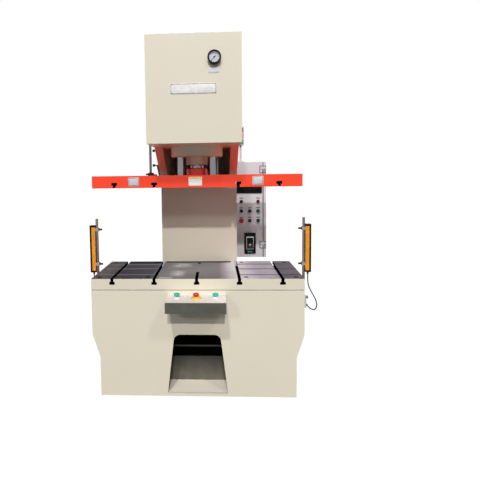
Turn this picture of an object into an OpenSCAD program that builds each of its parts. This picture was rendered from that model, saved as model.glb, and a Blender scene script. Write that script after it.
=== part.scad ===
// Gap-frame hydraulic punching press with a slotted table and a wide ram plate.
// Millimetres. The origin is on the floor under the ram's axis.
// X runs to the right, Y runs to the back and Z runs up.

/* [Frame] */
// Width over the two side plates
frame_w = 630; // [600:5:640]
// Thickness of each side plate
side_t = 60; // [40:5:65]
// Depth of the column behind its front plate
column_depth = 665; // [640:5:720]
// Thickness of the column's front plate
column_front_t = 20; // [12:1:25]
// Thickness of the column's back plate
column_back_t = 20; // [12:1:24]
// Top of the whole frame above the floor
frame_h = 2490; // [2470:5:2560]
// Underside of the head above the floor
head_bottom_z = 1785; // [1770:5:1810]
// Front face of the head, ahead of the ram's axis
head_reach = 456; // [430:2:480]
// Thickness of the plates that close the head
head_skin_t = 16; // [10:1:20]
// Thickness of the plate that carries the cylinder
cylinder_plate_t = 80; // [60:5:100]
// Length of that plate behind the ram's axis
cylinder_plate_back = 215; // [200:5:225]
// Where the sloped edge of the throat starts, ahead of the ram's axis
throat_start = 60; // [40:5:90]
// Height at which the slope of the throat meets the column
throat_end_z = 1533; // [1500:5:1560]
// Rounding of the throat's lower corner
throat_r = 50; // [20:5:80]

/* [Base] */
// Width of the base at the table
base_w = 1500; // [1480:5:1540]
// Width of the base at the floor
foot_w = 1394; // [1360:2:1440]
// Height at which the sides start to lean in
taper_top_z = 449; // [430:1:470]
// Height at which the sides stand upright again
taper_bottom_z = 287; // [260:1:310]
// Thickness of the base's sheets
base_t = 20; // [12:1:25]
// Width of the knee cut-out at the floor
knee_w = 430; // [400:5:440]
// Width of the knee cut-out where its corners start
knee_top_w = 337; // [300:1:360]
// Top of the knee cut-out
knee_top_z = 449; // [440:1:470]
// Corner radius of the knee cut-out
knee_r = 48; // [30:1:60]
// Height of the sill under the knee cut-out
sill_h = 22; // [15:1:30]
// Depth of the knee recess behind the front sheet
knee_depth = 200; // [180:2:240]
// Height of the panel at the back of the knee recess
knee_panel_z = 208; // [180:1:230]
// Height of the tie bar above that panel
knee_bar_z = 284; // [260:1:310]
// Height and depth of that bar
knee_bar_t = 12; // [8:1:20]
// Thickness of the knee recess's sheet
knee_sheet_t = 8; // [4:1:12]

/* [Table] */
// Height of the table's top above the floor
table_z = 850; // [840:2:870]
// Depth of the table, front to back
table_d = 650; // [640:2:656]
// Thickness of the table
table_t = 82; // [76:1:95]
// Height and depth of the step round the table's lower edge
table_step = 4; // [2:0.5:6]
// Distance between neighbouring slots
slot_pitch = 300; // [280:5:310]
// Width of a slot's narrow mouth
slot_neck = 22; // [18:1:24]
// Width of a slot's wide foot
slot_foot = 38; // [34:1:41]
// Height of a slot's wide foot
slot_foot_h = 20; // [14:1:22]
// Whole depth of a slot
slot_depth = 42; // [38:1:48]
// Length of the short middle slot
short_slot = 225; // [180:5:240]
// Length of the small slot at the back of the middle strip
back_slot = 40; // [25:1:60]
// Width of a shallow groove across the outer strips
groove_w = 7; // [4:1:10]
// Depth of a shallow groove
groove_depth = 4; // [2:0.5:6]
// Size of the screws that hold the table
table_screw = 20; // [16:1:22]
// Distance from a screw to the table's front or back edge
screw_inset = 55; // [45:1:70]

/* [Ram] */
// Width of the ram plate
ram_w = 1500; // [1480:5:1500]
// Depth of the ram plate, front to back
ram_d = 460; // [420:5:470]
// Underside of the ram plate when it is up
ram_z = 1488; // [1480:1:1496]
// Thickness of the ram plate
ram_t = 88; // [84:1:92]
// Place of the outer slots in the ram plate
ram_slot_outer = 588; // [560:2:600]
// Width of a ram slot's mouth
ram_slot_neck = 20; // [16:1:22]
// Width of a ram slot's wide part
ram_slot_foot = 41; // [36:1:44]
// Height of a ram slot's wide part
ram_slot_foot_h = 20; // [14:1:24]
// Whole depth of a ram slot
ram_slot_depth = 39; // [36:1:44]
// Diameter of the cylinder's flange
flange_d = 390; // [370:5:420]
// Thickness of the cylinder's flange
flange_t = 73; // [64:1:78]
// Outer diameter of the cylinder barrel
barrel_d = 210; // [200:1:212]
// Bore of the cylinder barrel
bore_d = 160; // [150:1:170]
// Room above the cylinder for its pipe
barrel_headroom = 120; // [90:5:140]
// Diameter of the piston rod
rod_d = 110; // [90:1:112]
// Height of the piston
piston_h = 90; // [70:5:110]
// Diameter of the rod's gland
gland_d = 164; // [156:1:170]
// Length of the gland below the flange
gland_l = 60; // [50:1:62]
// Depth of the gland's spigot inside the flange
spigot_l = 40; // [25:1:45]
// Height of the red collar on the ram plate
collar_h = 51; // [40:1:56]
// Outer diameter of that collar
collar_d = 164; // [156:1:170]
// Diameter of the two guide rods
guide_d = 48; // [40:1:50]
// Distance of a guide rod from the middle, sideways
guide_x = 118; // [116:1:124]
// Distance of the guide rods ahead of the ram's axis
guide_y = 75; // [74:1:80]
// Wall of a guide bush
bush_wall = 7; // [4:0.5:7]
// Depth of a guide rod's seat in the ram plate
guide_seat = 60; // [40:2:70]
// Length of a guide rod above the ram plate
guide_reach = 470; // [440:5:500]
// Travel of the ram
stroke = 200; // [150:5:215]

/* [Limit switches] */
// Distance of the striker rod from the frame's side
striker_gap = 65; // [55:1:75]
// Place of the striker rod behind the ram's axis
striker_y = 170; // [160:1:180]
// Diameter of the striker rod
striker_d = 20; // [14:1:22]
// Length of the striker rod
striker_l = 574; // [540:2:620]
// Heights of the lower and the upper switch above the floor
switch_low_z = 1659; // [1655:1:1670]
// Height of the upper switch
switch_high_z = 1776; // [1760:1:1790]

/* [Power unit] */
// Height of the oil tank
tank_h = 520; // [480:5:560]
// Width of the oil tank
tank_w = 460; // [420:5:480]
// Depth of the oil tank
tank_d = 580; // [560:5:600]
// Diameter of the motor
motor_d = 200; // [180:2:215]
// Length of the motor
motor_l = 260; // [240:5:270]
// Diameter of the fan
fan_d = 160; // [140:2:170]
// Outer diameter of the pressure pipe
pipe_d = 28; // [22:1:32]

/* [Pressure gauge] */
// Outer diameter of the gauge
gauge_d = 88; // [80:1:96]
// Depth of the gauge's case
gauge_t = 32; // [26:1:40]
// Distance of the gauge's centre below the frame's top
gauge_drop = 160; // [130:5:190]
// Place of the gauge's centre to the right of the middle
gauge_x = 138; // [120:1:160]

/* [Console] */
// Width of the console
console_w = 404; // [380:2:430]
// Reach of the console ahead of the base
console_d = 216; // [200:2:230]
// Height of the console
console_h = 74; // [66:1:85]
// Top of the console above the floor
console_z = 740; // [730:1:744]
// Thickness of the console's sheet
console_sheet = 3; // [2:0.5:4]
// Distance of each palm button from the middle
palm_x = 131; // [120:1:150]
// Diameter of the mushroom heads
palm_d = 42; // [36:1:46]
// Travel of the mushroom heads
palm_travel = 5; // [3:0.5:6]

/* [Cabinet] */
// Width of the control cabinet
cabinet_w = 278; // [270:2:300]
// Height of the control cabinet
cabinet_h = 860; // [850:5:900]
// Depth of the control cabinet
cabinet_d = 300; // [260:5:330]
// Bottom of the cabinet above the floor
cabinet_z = 830; // [800:5:840]
// Front face of the cabinet's box behind the column's front plate
cabinet_set = 295; // [285:2:315]
// Thickness of the cabinet's sheet
cabinet_sheet = 2; // [1.5:0.5:3]
// Depth of the door's pan
door_pan = 18; // [14:1:22]
// Width of the strip beside the door that carries the hinges
hinge_strip = 24; // [20:1:30]
// Width of the operator screen
screen_w = 226; // [210:2:232]
// Height of the operator screen
screen_h = 163; // [150:1:170]
// Bottom of the operator screen above the floor
screen_z = 1411; // [1405:1:1420]
// Diameter of a push button's cap
cap_d = 30; // [26:1:34]
// Travel of the cabinet's push buttons
cap_travel = 4; // [2:0.5:5]
// Width of the drive's keypad
keypad_w = 102; // [90:1:110]
// Height of the drive's keypad
keypad_h = 188; // [170:2:196]

/* [Signal tower] */
// Diameter of the lamp modules
lamp_d = 60; // [46:1:66]
// Height of one lamp module
lamp_h = 44; // [36:1:50]
// Height of the tower's pole
lamp_pole = 168; // [150:2:180]

/* [Light curtain] */
// Diameter of the posts
post_d = 20; // [16:1:22]
// Top of the posts above the floor
post_z = 1256; // [1240:2:1262]
// Width of a curtain's housing
curtain_w = 40; // [36:1:44]
// Length of a curtain's housing
curtain_l = 357; // [340:1:370]
// Bottom of a curtain's housing above the floor
curtain_z = 850; // [845:1:860]
// Place of the posts ahead of the ram's axis
curtain_y = 90; // [80:1:100]
// Distance of the right post from the base's side
right_post_gap = 27; // [20:1:34]
// Diameter of the curtain's cable
cable_d = 8; // [6:0.5:9]

/* [Fits] */
// Clearance on the radius of sliding round fits
slide_fit = 0.05; // [0.03:0.01:0.08]
// Clearance on the radius of pieces that are pressed in
press_fit = 0.02; // [0.01:0.01:0.04]
// Gap between a loose panel and what it covers
panel_gap = 0.3; // [0.2:0.1:0.6]

/* [Hidden] */
$fn = 64;

side_out = frame_w / 2;
side_in = side_out - side_t;
table_front = -table_d / 2;
column_front_y = table_d / 2;
column_y = column_front_y + column_front_t;
column_back_y = column_front_y + column_front_t + column_depth;
head_front_y = -head_reach;
head_skin_y = head_front_y + head_skin_t;
head_skin_z = frame_h - head_skin_t;
table_low = table_z - table_t;
base_in_y = table_front + base_t;
back_margin = 60;
screw_beside = 50;
screw_head_d = table_screw + 10;
screw_sink = table_screw + 4;
screw_key = table_screw * 0.85;
groove_parts = [0.19, 0.5, 0.82];
knee_back_y = base_in_y + knee_depth;
ram_top = ram_z + ram_t;
flange_low = head_bottom_z - flange_t;
gland_low = flange_low - gland_l;
barrel_cap = 45;
barrel_l = frame_h - head_bottom_z - barrel_headroom;
bore_top = head_bottom_z + barrel_l - barrel_cap;
piston_top = bore_top - 10;
rod_nut = 10;
bush_lip = 3;
guide_tip = 4;
tank_y = column_y + 35;
tank_lid_rim = 10;
filler_inset = 70;
filler_d = 40;
filler_h = 36;
breather_d = 70;
breather_h = 42;
motor_end = 20;
motor_fins = 20;
fin_h = 16;
fin_t = 3;
motor_shaft_d = 24;
fan_hub_d = 50;
fan_blades = 7;
fan_wall = 3;
pump_d = 96;
pump_flange_d = 150;
pump_flange_t = 30;
spool_d = 36;
spool_l = 55;
solenoid_w = 48;
solenoid_pitch = 70;
tank_lid_t = 10;
tank_wall = 5;
motor_x = -60;
motor_z = tank_h + tank_lid_t + motor_d / 2 + 20;
motor_y = tank_y + 220;
pump_port_l = 66;
port_y = motor_y - 70;
barrel_port_z = head_bottom_z + 150;
barrel_boss = 12;
fan_y = motor_y + motor_l + 6;
fan_t = 36;
fan_shell_l = 62;
pump_l = 110;
block_w = 120;
block_d = 150;
block_h = 130;
block_x = 130;
block_y = tank_y + 90;
gauge_z = frame_h - gauge_drop;
gauge_stem_d = 16;
gauge_rim = 6;
gauge_bowl = 14;
needle_shaft_d = 6;
needle_boss_d = 10;
needle_l = 30;
gauge_needle_gap = 4;
console_y = table_front - console_d;
console_mid_y = table_front - console_d / 2;
palm_rise = 20;
palm_stem_d = 22;
stop_collar_d = 68;
stop_collar_h = 10;
palm_head_h = 20;
palm_edge_r = 10;
palm_stem_below = 30;
palm_collar_h = 5;
collar_wall = 4;
collar_neck_gap = 6;
collar_below = 24;
cabinet_x = side_out;
cabinet_y = column_y + cabinet_set;
cabinet_right = cabinet_x + cabinet_w;
cabinet_top = cabinet_z + cabinet_h;
door_left = cabinet_x + 3;
door_right = cabinet_right - hinge_strip - 1;
door_face_y = cabinet_y - door_pan;
button_x = [cabinet_x + 56, cabinet_x + 131, cabinet_x + 206];
button_z = [cabinet_z + 333, cabinet_z + 420, cabinet_z + 507];
button_places = [[0, 0], [1, 0], [2, 0], [0, 1], [1, 1], [2, 1], [0, 2], [2, 2]];
button_stem_d = 22;
button_stem_l = 34;
cap_t = 12;
selector_t = 8;
selector_grip_w = 8;
selector_grip_h = 14;
lamp_t = 12;
cabinet_hinge_x = cabinet_right - hinge_strip;
cabinet_hinge_y = door_face_y - 7;
cabinet_hinge_z = [cabinet_z + 113, cabinet_z + 792];
plate_margin = 20;
rail_h = 7;
rail_w = 36;
rail_y = cabinet_y + cabinet_d - cabinet_sheet - 20;
rail_z = [cabinet_z + 230, cabinet_z + 440, cabinet_z + 640];
screen_rim = 11;
screen_t = 8;
screen_back = 30;
keypad_t = 12;
keypad_rim = 17;
keypad_x = cabinet_x + 132;
keypad_z = cabinet_z + 34;
hinge_half = 27;
hinge_leaf = 25;
rear_w = 410;
rear_low = 135;
rear_high = 1315;
rear_open_w = 380;
rear_open_low = 150;
rear_open_high = 1300;
rear_pan = 16;
louvre_w = 130;
louvre_gap = 8;
louvre_pitch = 34;
louvre_rows = 8;
louvre_z = 888;
latch_d = 30;
latch_t = 7;
latch_key = 4;
latch_inset = 30;
latch_end = 110;
rear_hinge_x = -rear_w / 2 - 7;
rear_hinge_y = column_back_y + 10;
rear_hinge_z = [320, 1130];
knuckle_r = 5;
pin_d = 5;
tower_x = cabinet_x + 62;
tower_y = cabinet_y + 150;
tower_core_d = 20;
tower_gap = 11;
tower_foot_d = 70;
tower_foot_h = 12;
tower_tube_d = 16;
tower_cap_h = 12;
striker_x = -side_out - striker_gap;
striker_foot = 40;
striker_foot_h = 24;
striker_toe = 48;
striker_toe_h = 12;
striker_trips = [270, 470];
trip_h = 22;
trip_d = striker_d + 10;
switch_gap = 3;
switch_w = 16;
switch_d = 30;
switch_h = 20;
switch_arm = 9;
duct_t = 14;
duct_w = 26;
duct_inset = 8;
duct_h = 105;
post_left_x = -base_w / 2 - post_d / 2;
post_right_x = base_w / 2 + right_post_gap + post_d / 2;
clamp_z = [curtain_z + 62, curtain_z + curtain_l - 32];
clamp_h = 24;
clamp_d = 30;
clamp_wall = 6;
clamp_knob_d = 14;
clamp_knob_l = 24;
post_low = table_z - 160;
post_brackets = [post_low + 10, post_low + 50];
bracket_h = 22;
curtain_cap_h = 9;
curtain_cap_rim = 0.8;
window_w = 16;
window_depth = 2;
window_end = 24;
box_right_w = 34;
box_right_d = 55;
box_right_h = 88;
box_right_drop = 11;
box_left_w = 46;
box_left_d = 60;
box_left_h = 54;
box_left_rise = 12;
box_gland_d = 15;
box_gland_l = 26;
box_knob_d = 22;
box_knob_l = 16;
box_knob_up = 61;
housing_gap = 1;
gland_nub_l = 17;
gland_nub_d = 14;
cable_sides = 10;

// Route of the right curtain's cable, from the curtain to its box
right_route = [[818, -90, 833], [818, -90, 810], [818, -92, 786], [820, -95, 762],
    [826, -100, 738], [836, -107, 714], [848, -116, 690], [860, -127, 667],
    [869, -139, 643], [872, -152, 618], [864, -165, 596], [847, -176, 588],
    [828, -184, 594], [811, -188, 606], [794, -188, 623]];
// Route of the left curtain's cable, from the curtain to its box
left_route = [[-791, -90, 833], [-791, -90, 810], [-791, -90, 785], [-790, -89, 760],
    [-789, -87, 735], [-788, -84, 710], [-786, -79, 685], [-784, -72, 660],
    [-782, -61, 637], [-780, -44, 619], [-780, -22, 611], [-780, 1, 617],
    [-780, 18, 633], [-780, 25, 655], [-780, 25, 680]];

// A block between two corners
module block(x0, x1, y0, y1, z0, z1) {
    translate([x0, y0, z0]) cube([x1 - x0, y1 - y0, z1 - z0]);
}

// A round bar along Y between two planes
module bar_y(x, z, y0, y1, d) {
    translate([x, y0, z]) rotate([-90, 0, 0]) cylinder(h = y1 - y0, d = d);
}

// An outline of Y and Z points, given its thickness along X
module plate_yz(x0, x1) {
    translate([x0, 0, 0]) rotate([90, 0, 90]) linear_extrude(x1 - x0) children();
}

// An outline of X and Z points, given its thickness along Y
module plate_xz(y0, y1) {
    translate([0, y1, 0]) rotate([90, 0, 0]) linear_extrude(y1 - y0) children();
}

// Points of an arc about a centre
function arc(c, r, a0, a1, steps) =
    [for (i = [0:steps]) let (a = a0 + (a1 - a0) * i / steps) c + r * [cos(a), sin(a)]];

// The C-shaped outline of a side plate, in Y and Z
module side_outline() {
    lean = atan2(head_bottom_z - throat_end_z, column_y + throat_start);
    reach = throat_r * tan((90 - lean) / 2);
    corner = [column_y - throat_r, throat_end_z - reach];
    polygon(concat([[base_in_y, 0], [column_back_y, 0], [column_back_y, head_skin_z],
        [head_skin_y, head_skin_z], [head_skin_y, head_bottom_z], [-throat_start, head_bottom_z]],
        arc(corner, throat_r, 90 - lean, 0, 6),
        [[column_y, table_low - base_t], [base_in_y, table_low - base_t]]));
}

module frame_side_left() {
    color("antiquewhite") plate_yz(-side_out, -side_in) side_outline();
}

module frame_side_right() {
    color("antiquewhite") plate_yz(side_in, side_out) side_outline();
}

module head_front_plate() {
    color("antiquewhite") difference() {
        block(-side_out, side_out, head_front_y, head_skin_y, head_bottom_z, head_skin_z);
        bar_y(gauge_x, gauge_z, head_front_y - 1, head_skin_y + 1, gauge_stem_d);
    }
}

module head_top_plate() {
    color("antiquewhite")
        block(-side_out, side_out, head_front_y, column_back_y, head_skin_z, frame_h);
}

module head_bottom_plate() {
    color("antiquewhite") difference() {
        block(-side_in, side_in, head_skin_y, cylinder_plate_back,
            head_bottom_z, head_bottom_z + cylinder_plate_t);
        translate([0, 0, head_bottom_z - 1])
            cylinder(h = cylinder_plate_t + 2, d = barrel_d + 2 * press_fit);
        guide_holes(head_bottom_z - 1, head_bottom_z + cylinder_plate_t + 1);
    }
}

// The two holes that hold the guide bushes
module guide_holes(z0, z1) {
    for (side = [-1, 1]) translate([side * guide_x, -guide_y, z0])
        cylinder(h = z1 - z0, d = guide_d + 2 * bush_wall + 2 * press_fit);
}

module column_front_plate() {
    waist = table_low - base_t;
    top = throat_end_z - throat_r;
    color("antiquewhite") plate_xz(column_front_y, column_y)
        polygon([[-side_in, 0], [side_in, 0], [side_in, waist], [side_out, waist],
            [side_out, top], [-side_out, top], [-side_out, waist], [-side_in, waist]]);
}

module column_back_plate() {
    color("antiquewhite") difference() {
        block(-side_in, side_in, column_back_y - column_back_t, column_back_y, 0, head_skin_z);
        block(-rear_open_w / 2, rear_open_w / 2, column_back_y - column_back_t - 1,
            column_back_y + 1, rear_open_low, rear_open_high);
    }
}

// The outline of the base seen from the front, drawn in by a given amount
module base_outline(inset, z0, z1) {
    w = base_w / 2 - inset;
    f = foot_w / 2 - inset;
    polygon([[-f, z0], [f, z0], [f, taper_bottom_z], [w, taper_top_z], [w, z1],
        [-w, z1], [-w, taper_top_z], [-f, taper_bottom_z]]);
}

// The outline of the knee cut-out seen from the front
module knee_outline() {
    top = knee_top_w / 2;
    polygon(concat([[-knee_w / 2, sill_h], [knee_w / 2, sill_h]],
        arc([top - knee_r, knee_top_z - knee_r], knee_r, 0, 90, 6),
        arc([knee_r - top, knee_top_z - knee_r], knee_r, 90, 180, 6)));
}

module base_front_plate() {
    color("antiquewhite") plate_xz(table_front, base_in_y) difference() {
        base_outline(0, 0, table_low);
        knee_outline();
    }
}

// One folded side of the base
module base_side(side) {
    color("antiquewhite") plate_xz(base_in_y, column_front_y) intersection() {
        difference() {
            base_outline(0, 0, table_low);
            base_outline(base_t, -1, table_low + 1);
        }
        translate([side > 0 ? 0 : -base_w, 0]) square([base_w, table_low]);
    }
}

module base_side_left() { base_side(-1); }

module base_side_right() { base_side(1); }

module base_back_plates() {
    color("antiquewhite") plate_xz(column_front_y - base_t, column_front_y) difference() {
        base_outline(base_t, 0, table_low - base_t);
        translate([-side_out, -1]) square([frame_w, table_z]);
    }
}

module base_top_plate() {
    color("antiquewhite") difference() {
        block(-base_w / 2 + base_t, base_w / 2 - base_t, base_in_y, column_front_y,
            table_low - base_t, table_low);
        table_screw_places() translate([0, 0, table_low - base_t - 1])
            cylinder(h = base_t + 2, d = table_screw + 2 * press_fit);
    }
}

// The base's bottom plate with the panel and the tie bar behind the operator's knees
module knee_liner() {
    color("antiquewhite") {
        block(-side_in, side_in, base_in_y, column_front_y, 0, sill_h);
        block(-side_in, side_in, knee_back_y - knee_sheet_t, knee_back_y,
            sill_h - 1, knee_panel_z);
        block(-side_in, side_in, knee_back_y - knee_bar_t, knee_back_y,
            knee_bar_z, knee_bar_z + knee_bar_t);
    }
}

// The pan of a door, open at its back, that faces along Y
module door_pan_shape(x0, x1, y0, y1, z0, z1, t, back) {
    difference() {
        block(x0, x1, y0, y1, z0, z1);
        block(x0 + t, x1 - t, back > 0 ? y0 + t : y0 - 1, back > 0 ? y1 + 1 : y1 - t,
            z0 + t, z1 - t);
    }
}

module rear_door() {
    color("antiquewhite") {
        difference() {
            door_pan_shape(-rear_w / 2, rear_w / 2, column_back_y + panel_gap,
                column_back_y + rear_pan, rear_low, rear_high, cabinet_sheet, -1);
            louvre_places() block(-louvre_w / 2, louvre_w / 2, column_back_y,
                column_back_y + rear_pan + 1, -louvre_gap, 0);
        }
        louvre_places() louvre_hood();
        for (z = [rear_low + latch_end, rear_high - latch_end]) rear_latch(z);
        for (z = rear_hinge_z) door_knuckle(rear_hinge_x, rear_hinge_y, z,
            rear_hinge_x, rear_hinge_x + 35, rear_hinge_y + 3, column_back_y + rear_pan + 2);
    }
}

// Top edges of the louvre slots, in two columns
module louvre_places() {
    for (side = [-1, 1], row = [0:louvre_rows - 1])
        translate([side * rear_w * 0.225, 0, louvre_z + louvre_pitch * row]) children();
}

// The pressed hood over one louvre slot of the rear door
module louvre_hood() {
    y = column_back_y + rear_pan;
    plate_yz(-louvre_w / 2 - 4, louvre_w / 2 + 4) polygon([[y, 6], [y, 2],
        [y + 9, -louvre_gap - 2], [y + 11, -louvre_gap - 2], [y + 11, -louvre_gap]]);
}

// A quarter-turn latch on the rear door
module rear_latch(z) {
    x = rear_w / 2 - latch_inset;
    y = column_back_y + rear_pan;
    difference() {
        bar_y(x, z, y - 1, y + latch_t, latch_d);
        block(x - latch_key / 2, x + latch_key / 2, y + latch_t / 2, y + latch_t + 1,
            z - latch_d, z + latch_d);
    }
}

// The part of a hinge that belongs to a door: a bored knuckle and its leaf
module door_knuckle(x, y, z, leaf_x0, leaf_x1, leaf_y0, leaf_y1) {
    difference() {
        union() {
            translate([x, y, z + 1]) cylinder(h = hinge_half - 1, r = knuckle_r);
            block(leaf_x0, leaf_x1, leaf_y0, leaf_y1, z + 1, z + hinge_half);
        }
        translate([x, y, z]) cylinder(h = hinge_half + 1, d = pin_d + 2 * slide_fit);
    }
}

// The part of a hinge that stays on the frame: a knuckle with its pin and leaf
module fixed_knuckle(x, y, z, leaf_x0, leaf_x1, leaf_y0, leaf_y1) {
    translate([x, y, z - hinge_half]) cylinder(h = hinge_half - 1, r = knuckle_r);
    translate([x, y, z - hinge_half]) cylinder(h = 2 * hinge_half, d = pin_d);
    block(leaf_x0, leaf_x1, leaf_y0, leaf_y1, z - hinge_half, z - 1);
}

module door_hinges() {
    color("silver") {
        for (z = rear_hinge_z) fixed_knuckle(rear_hinge_x, rear_hinge_y, z,
            rear_hinge_x - hinge_leaf, rear_hinge_x, column_back_y, rear_hinge_y - 1);
        for (z = cabinet_hinge_z) fixed_knuckle(cabinet_hinge_x, cabinet_hinge_y, z,
            cabinet_hinge_x, cabinet_hinge_x + hinge_leaf - 1, cabinet_hinge_y + 3, door_face_y);
    }
}

// Places of the eight screws that hold the table
module table_screw_places() {
    for (x = [slot_pitch + screw_beside, base_w / 2 - screw_beside], side = [-1, 1], end = [-1, 1])
        translate([side * x, end * (table_d / 2 - screw_inset), 0]) children();
}

// The hollow of a slot along Y: a narrow mouth and a wide foot
module tee_slot(x, y0, y1, face_z, depth, neck, foot, foot_h, down) {
    block(x - neck / 2, x + neck / 2, y0, y1, down > 0 ? face_z - depth : face_z - 1,
        down > 0 ? face_z + 1 : face_z + depth);
    block(x - foot / 2, x + foot / 2, y0, y1, down > 0 ? face_z - depth : face_z + depth - foot_h,
        down > 0 ? face_z - depth + foot_h : face_z + depth);
}

module bolster_table() {
    color("slategray") difference() {
        union() {
            block(-base_w / 2, base_w / 2, table_front, column_front_y,
                table_low + table_step, table_z);
            block(-base_w / 2 + table_step, base_w / 2 - table_step, table_front + table_step,
                column_front_y, table_low, table_low + table_step);
        }
        for (k = [-2, -1, 1, 2]) tee_slot(k * slot_pitch, table_front - 1, column_front_y + 1,
            table_z, slot_depth, slot_neck, slot_foot, slot_foot_h, 1);
        tee_slot(0, table_front - 1, table_front + short_slot, table_z, slot_depth, slot_neck,
            slot_foot, slot_foot_h, 1);
        tee_slot(0, column_front_y - back_slot - back_margin, column_front_y - back_margin, table_z,
            slot_depth / 2, slot_neck, slot_neck + 6, 8, 1);
        for (side = [-1, 1], part = groove_parts)
            block(side > 0 ? slot_pitch : -base_w / 2 - 1, side > 0 ? base_w / 2 + 1 : -slot_pitch,
                table_front + table_d * part - groove_w / 2, table_front + table_d * part + groove_w / 2,
                table_z - groove_depth, table_z + 1);
        table_screw_places() {
            translate([0, 0, table_z - screw_sink]) cylinder(h = screw_sink + 1, d = screw_head_d + 4);
            translate([0, 0, table_low - 1]) cylinder(h = table_t + 2, d = table_screw + 2);
        }
    }
}

module table_screws() {
    head_low = table_z - screw_sink;
    color("dimgray") table_screw_places() difference() {
        union() {
            translate([0, 0, head_low]) cylinder(h = table_screw, d = screw_head_d);
            translate([0, 0, table_low - base_t]) cylinder(h = head_low - table_low + base_t + 1,
                d = table_screw);
        }
        translate([0, 0, head_low + table_screw / 2])
            cylinder(h = table_screw, d = screw_key, $fn = 6);
    }
}

module cylinder_body() {
    chamfer = 6;
    color("tan") difference() {
        union() {
            rotate_extrude($fn = 96) polygon([[0, flange_low], [flange_d / 2 - chamfer, flange_low],
                [flange_d / 2, flange_low + chamfer], [flange_d / 2, head_bottom_z],
                [barrel_d / 2, head_bottom_z], [barrel_d / 2, head_bottom_z + barrel_l - 8],
                [barrel_d / 2 - 8, head_bottom_z + barrel_l], [0, head_bottom_z + barrel_l]]);
            bar_y(0, barrel_port_z, bore_d / 2, barrel_d / 2 + barrel_boss, pipe_d + 16);
        }
        translate([0, 0, flange_low - 1]) cylinder(h = bore_top - flange_low + 1, d = bore_d);
        guide_holes(flange_low - 1, head_bottom_z + 1);
    }
}

module rod_gland() {
    color("tan") difference() {
        rotate_extrude($fn = 96) polygon([[0, gland_low], [gland_d / 2 - 4, gland_low],
            [gland_d / 2, gland_low + 4], [gland_d / 2, flange_low],
            [bore_d / 2 - press_fit, flange_low], [bore_d / 2 - press_fit, flange_low + spigot_l],
            [0, flange_low + spigot_l]]);
        translate([0, 0, gland_low - 1])
            cylinder(h = gland_l + spigot_l + 2, d = rod_d + 2 * slide_fit);
    }
}

module piston_rod() {
    color("silver") {
        translate([0, 0, ram_top]) cylinder(h = piston_top - rod_nut - ram_top, d = rod_d);
        translate([0, 0, piston_top - piston_h]) cylinder(h = piston_h, d = bore_d - 2 * slide_fit);
    }
}

module rod_collar() {
    color("firebrick") difference() {
        rotate_extrude($fn = 96) polygon([[0, ram_top], [collar_d / 2, ram_top],
            [collar_d / 2, ram_top + collar_h - 5], [collar_d / 2 - 5, ram_top + collar_h],
            [0, ram_top + collar_h]]);
        translate([0, 0, ram_top - 1]) cylinder(h = collar_h + 2, d = rod_d + 2 * press_fit);
    }
}

module guide_rods() {
    color("gainsboro") for (side = [-1, 1])
        translate([side * guide_x, -guide_y, ram_top - guide_seat]) {
            cylinder(h = guide_seat + guide_reach - guide_tip, d = guide_d);
            translate([0, 0, guide_seat + guide_reach - guide_tip])
                cylinder(h = guide_tip, d = guide_d - 2 * guide_tip);
        }
}

module guide_bushes() {
    color("goldenrod") for (side = [-1, 1]) translate([side * guide_x, -guide_y, flange_low - bush_lip])
        difference() {
            cylinder(h = flange_t + cylinder_plate_t + bush_lip, d = guide_d + 2 * bush_wall);
            translate([0, 0, -1]) cylinder(h = flange_t + cylinder_plate_t + bush_lip + 2,
                d = guide_d + 2 * slide_fit);
        }
}

module ram_plate() {
    color("orangered") difference() {
        block(-ram_w / 2, ram_w / 2, -ram_d / 2, ram_d / 2, ram_z, ram_top);
        for (side = [-1, 1], x = [slot_pitch, ram_slot_outer])
            tee_slot(side * x, -ram_d / 2 - 1, ram_d / 2 + 1, ram_z, ram_slot_depth,
                ram_slot_neck, ram_slot_foot, ram_slot_foot_h, -1);
        for (side = [-1, 1]) translate([side * guide_x, -guide_y, ram_top - guide_seat])
            cylinder(h = guide_seat + 1, d = guide_d + 2 * press_fit);
    }
}

module oil_tank() {
    color("lightsteelblue") {
        difference() {
            block(-tank_w / 2, tank_w / 2, tank_y, tank_y + tank_d, 0, tank_h);
            block(-tank_w / 2 + tank_wall, tank_w / 2 - tank_wall, tank_y + tank_wall,
                tank_y + tank_d - tank_wall, tank_wall, tank_h + 1);
        }
        block(-side_in, side_in, tank_y - tank_lid_rim, tank_y + tank_d + tank_lid_rim,
            tank_h, tank_h + tank_lid_t);
        translate([-side_in + filler_inset, tank_y + filler_inset, tank_h + tank_lid_t]) {
            cylinder(h = filler_h, d = filler_d);
            translate([0, 0, filler_h]) cylinder(h = breather_h, d = breather_d);
        }
    }
}

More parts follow.
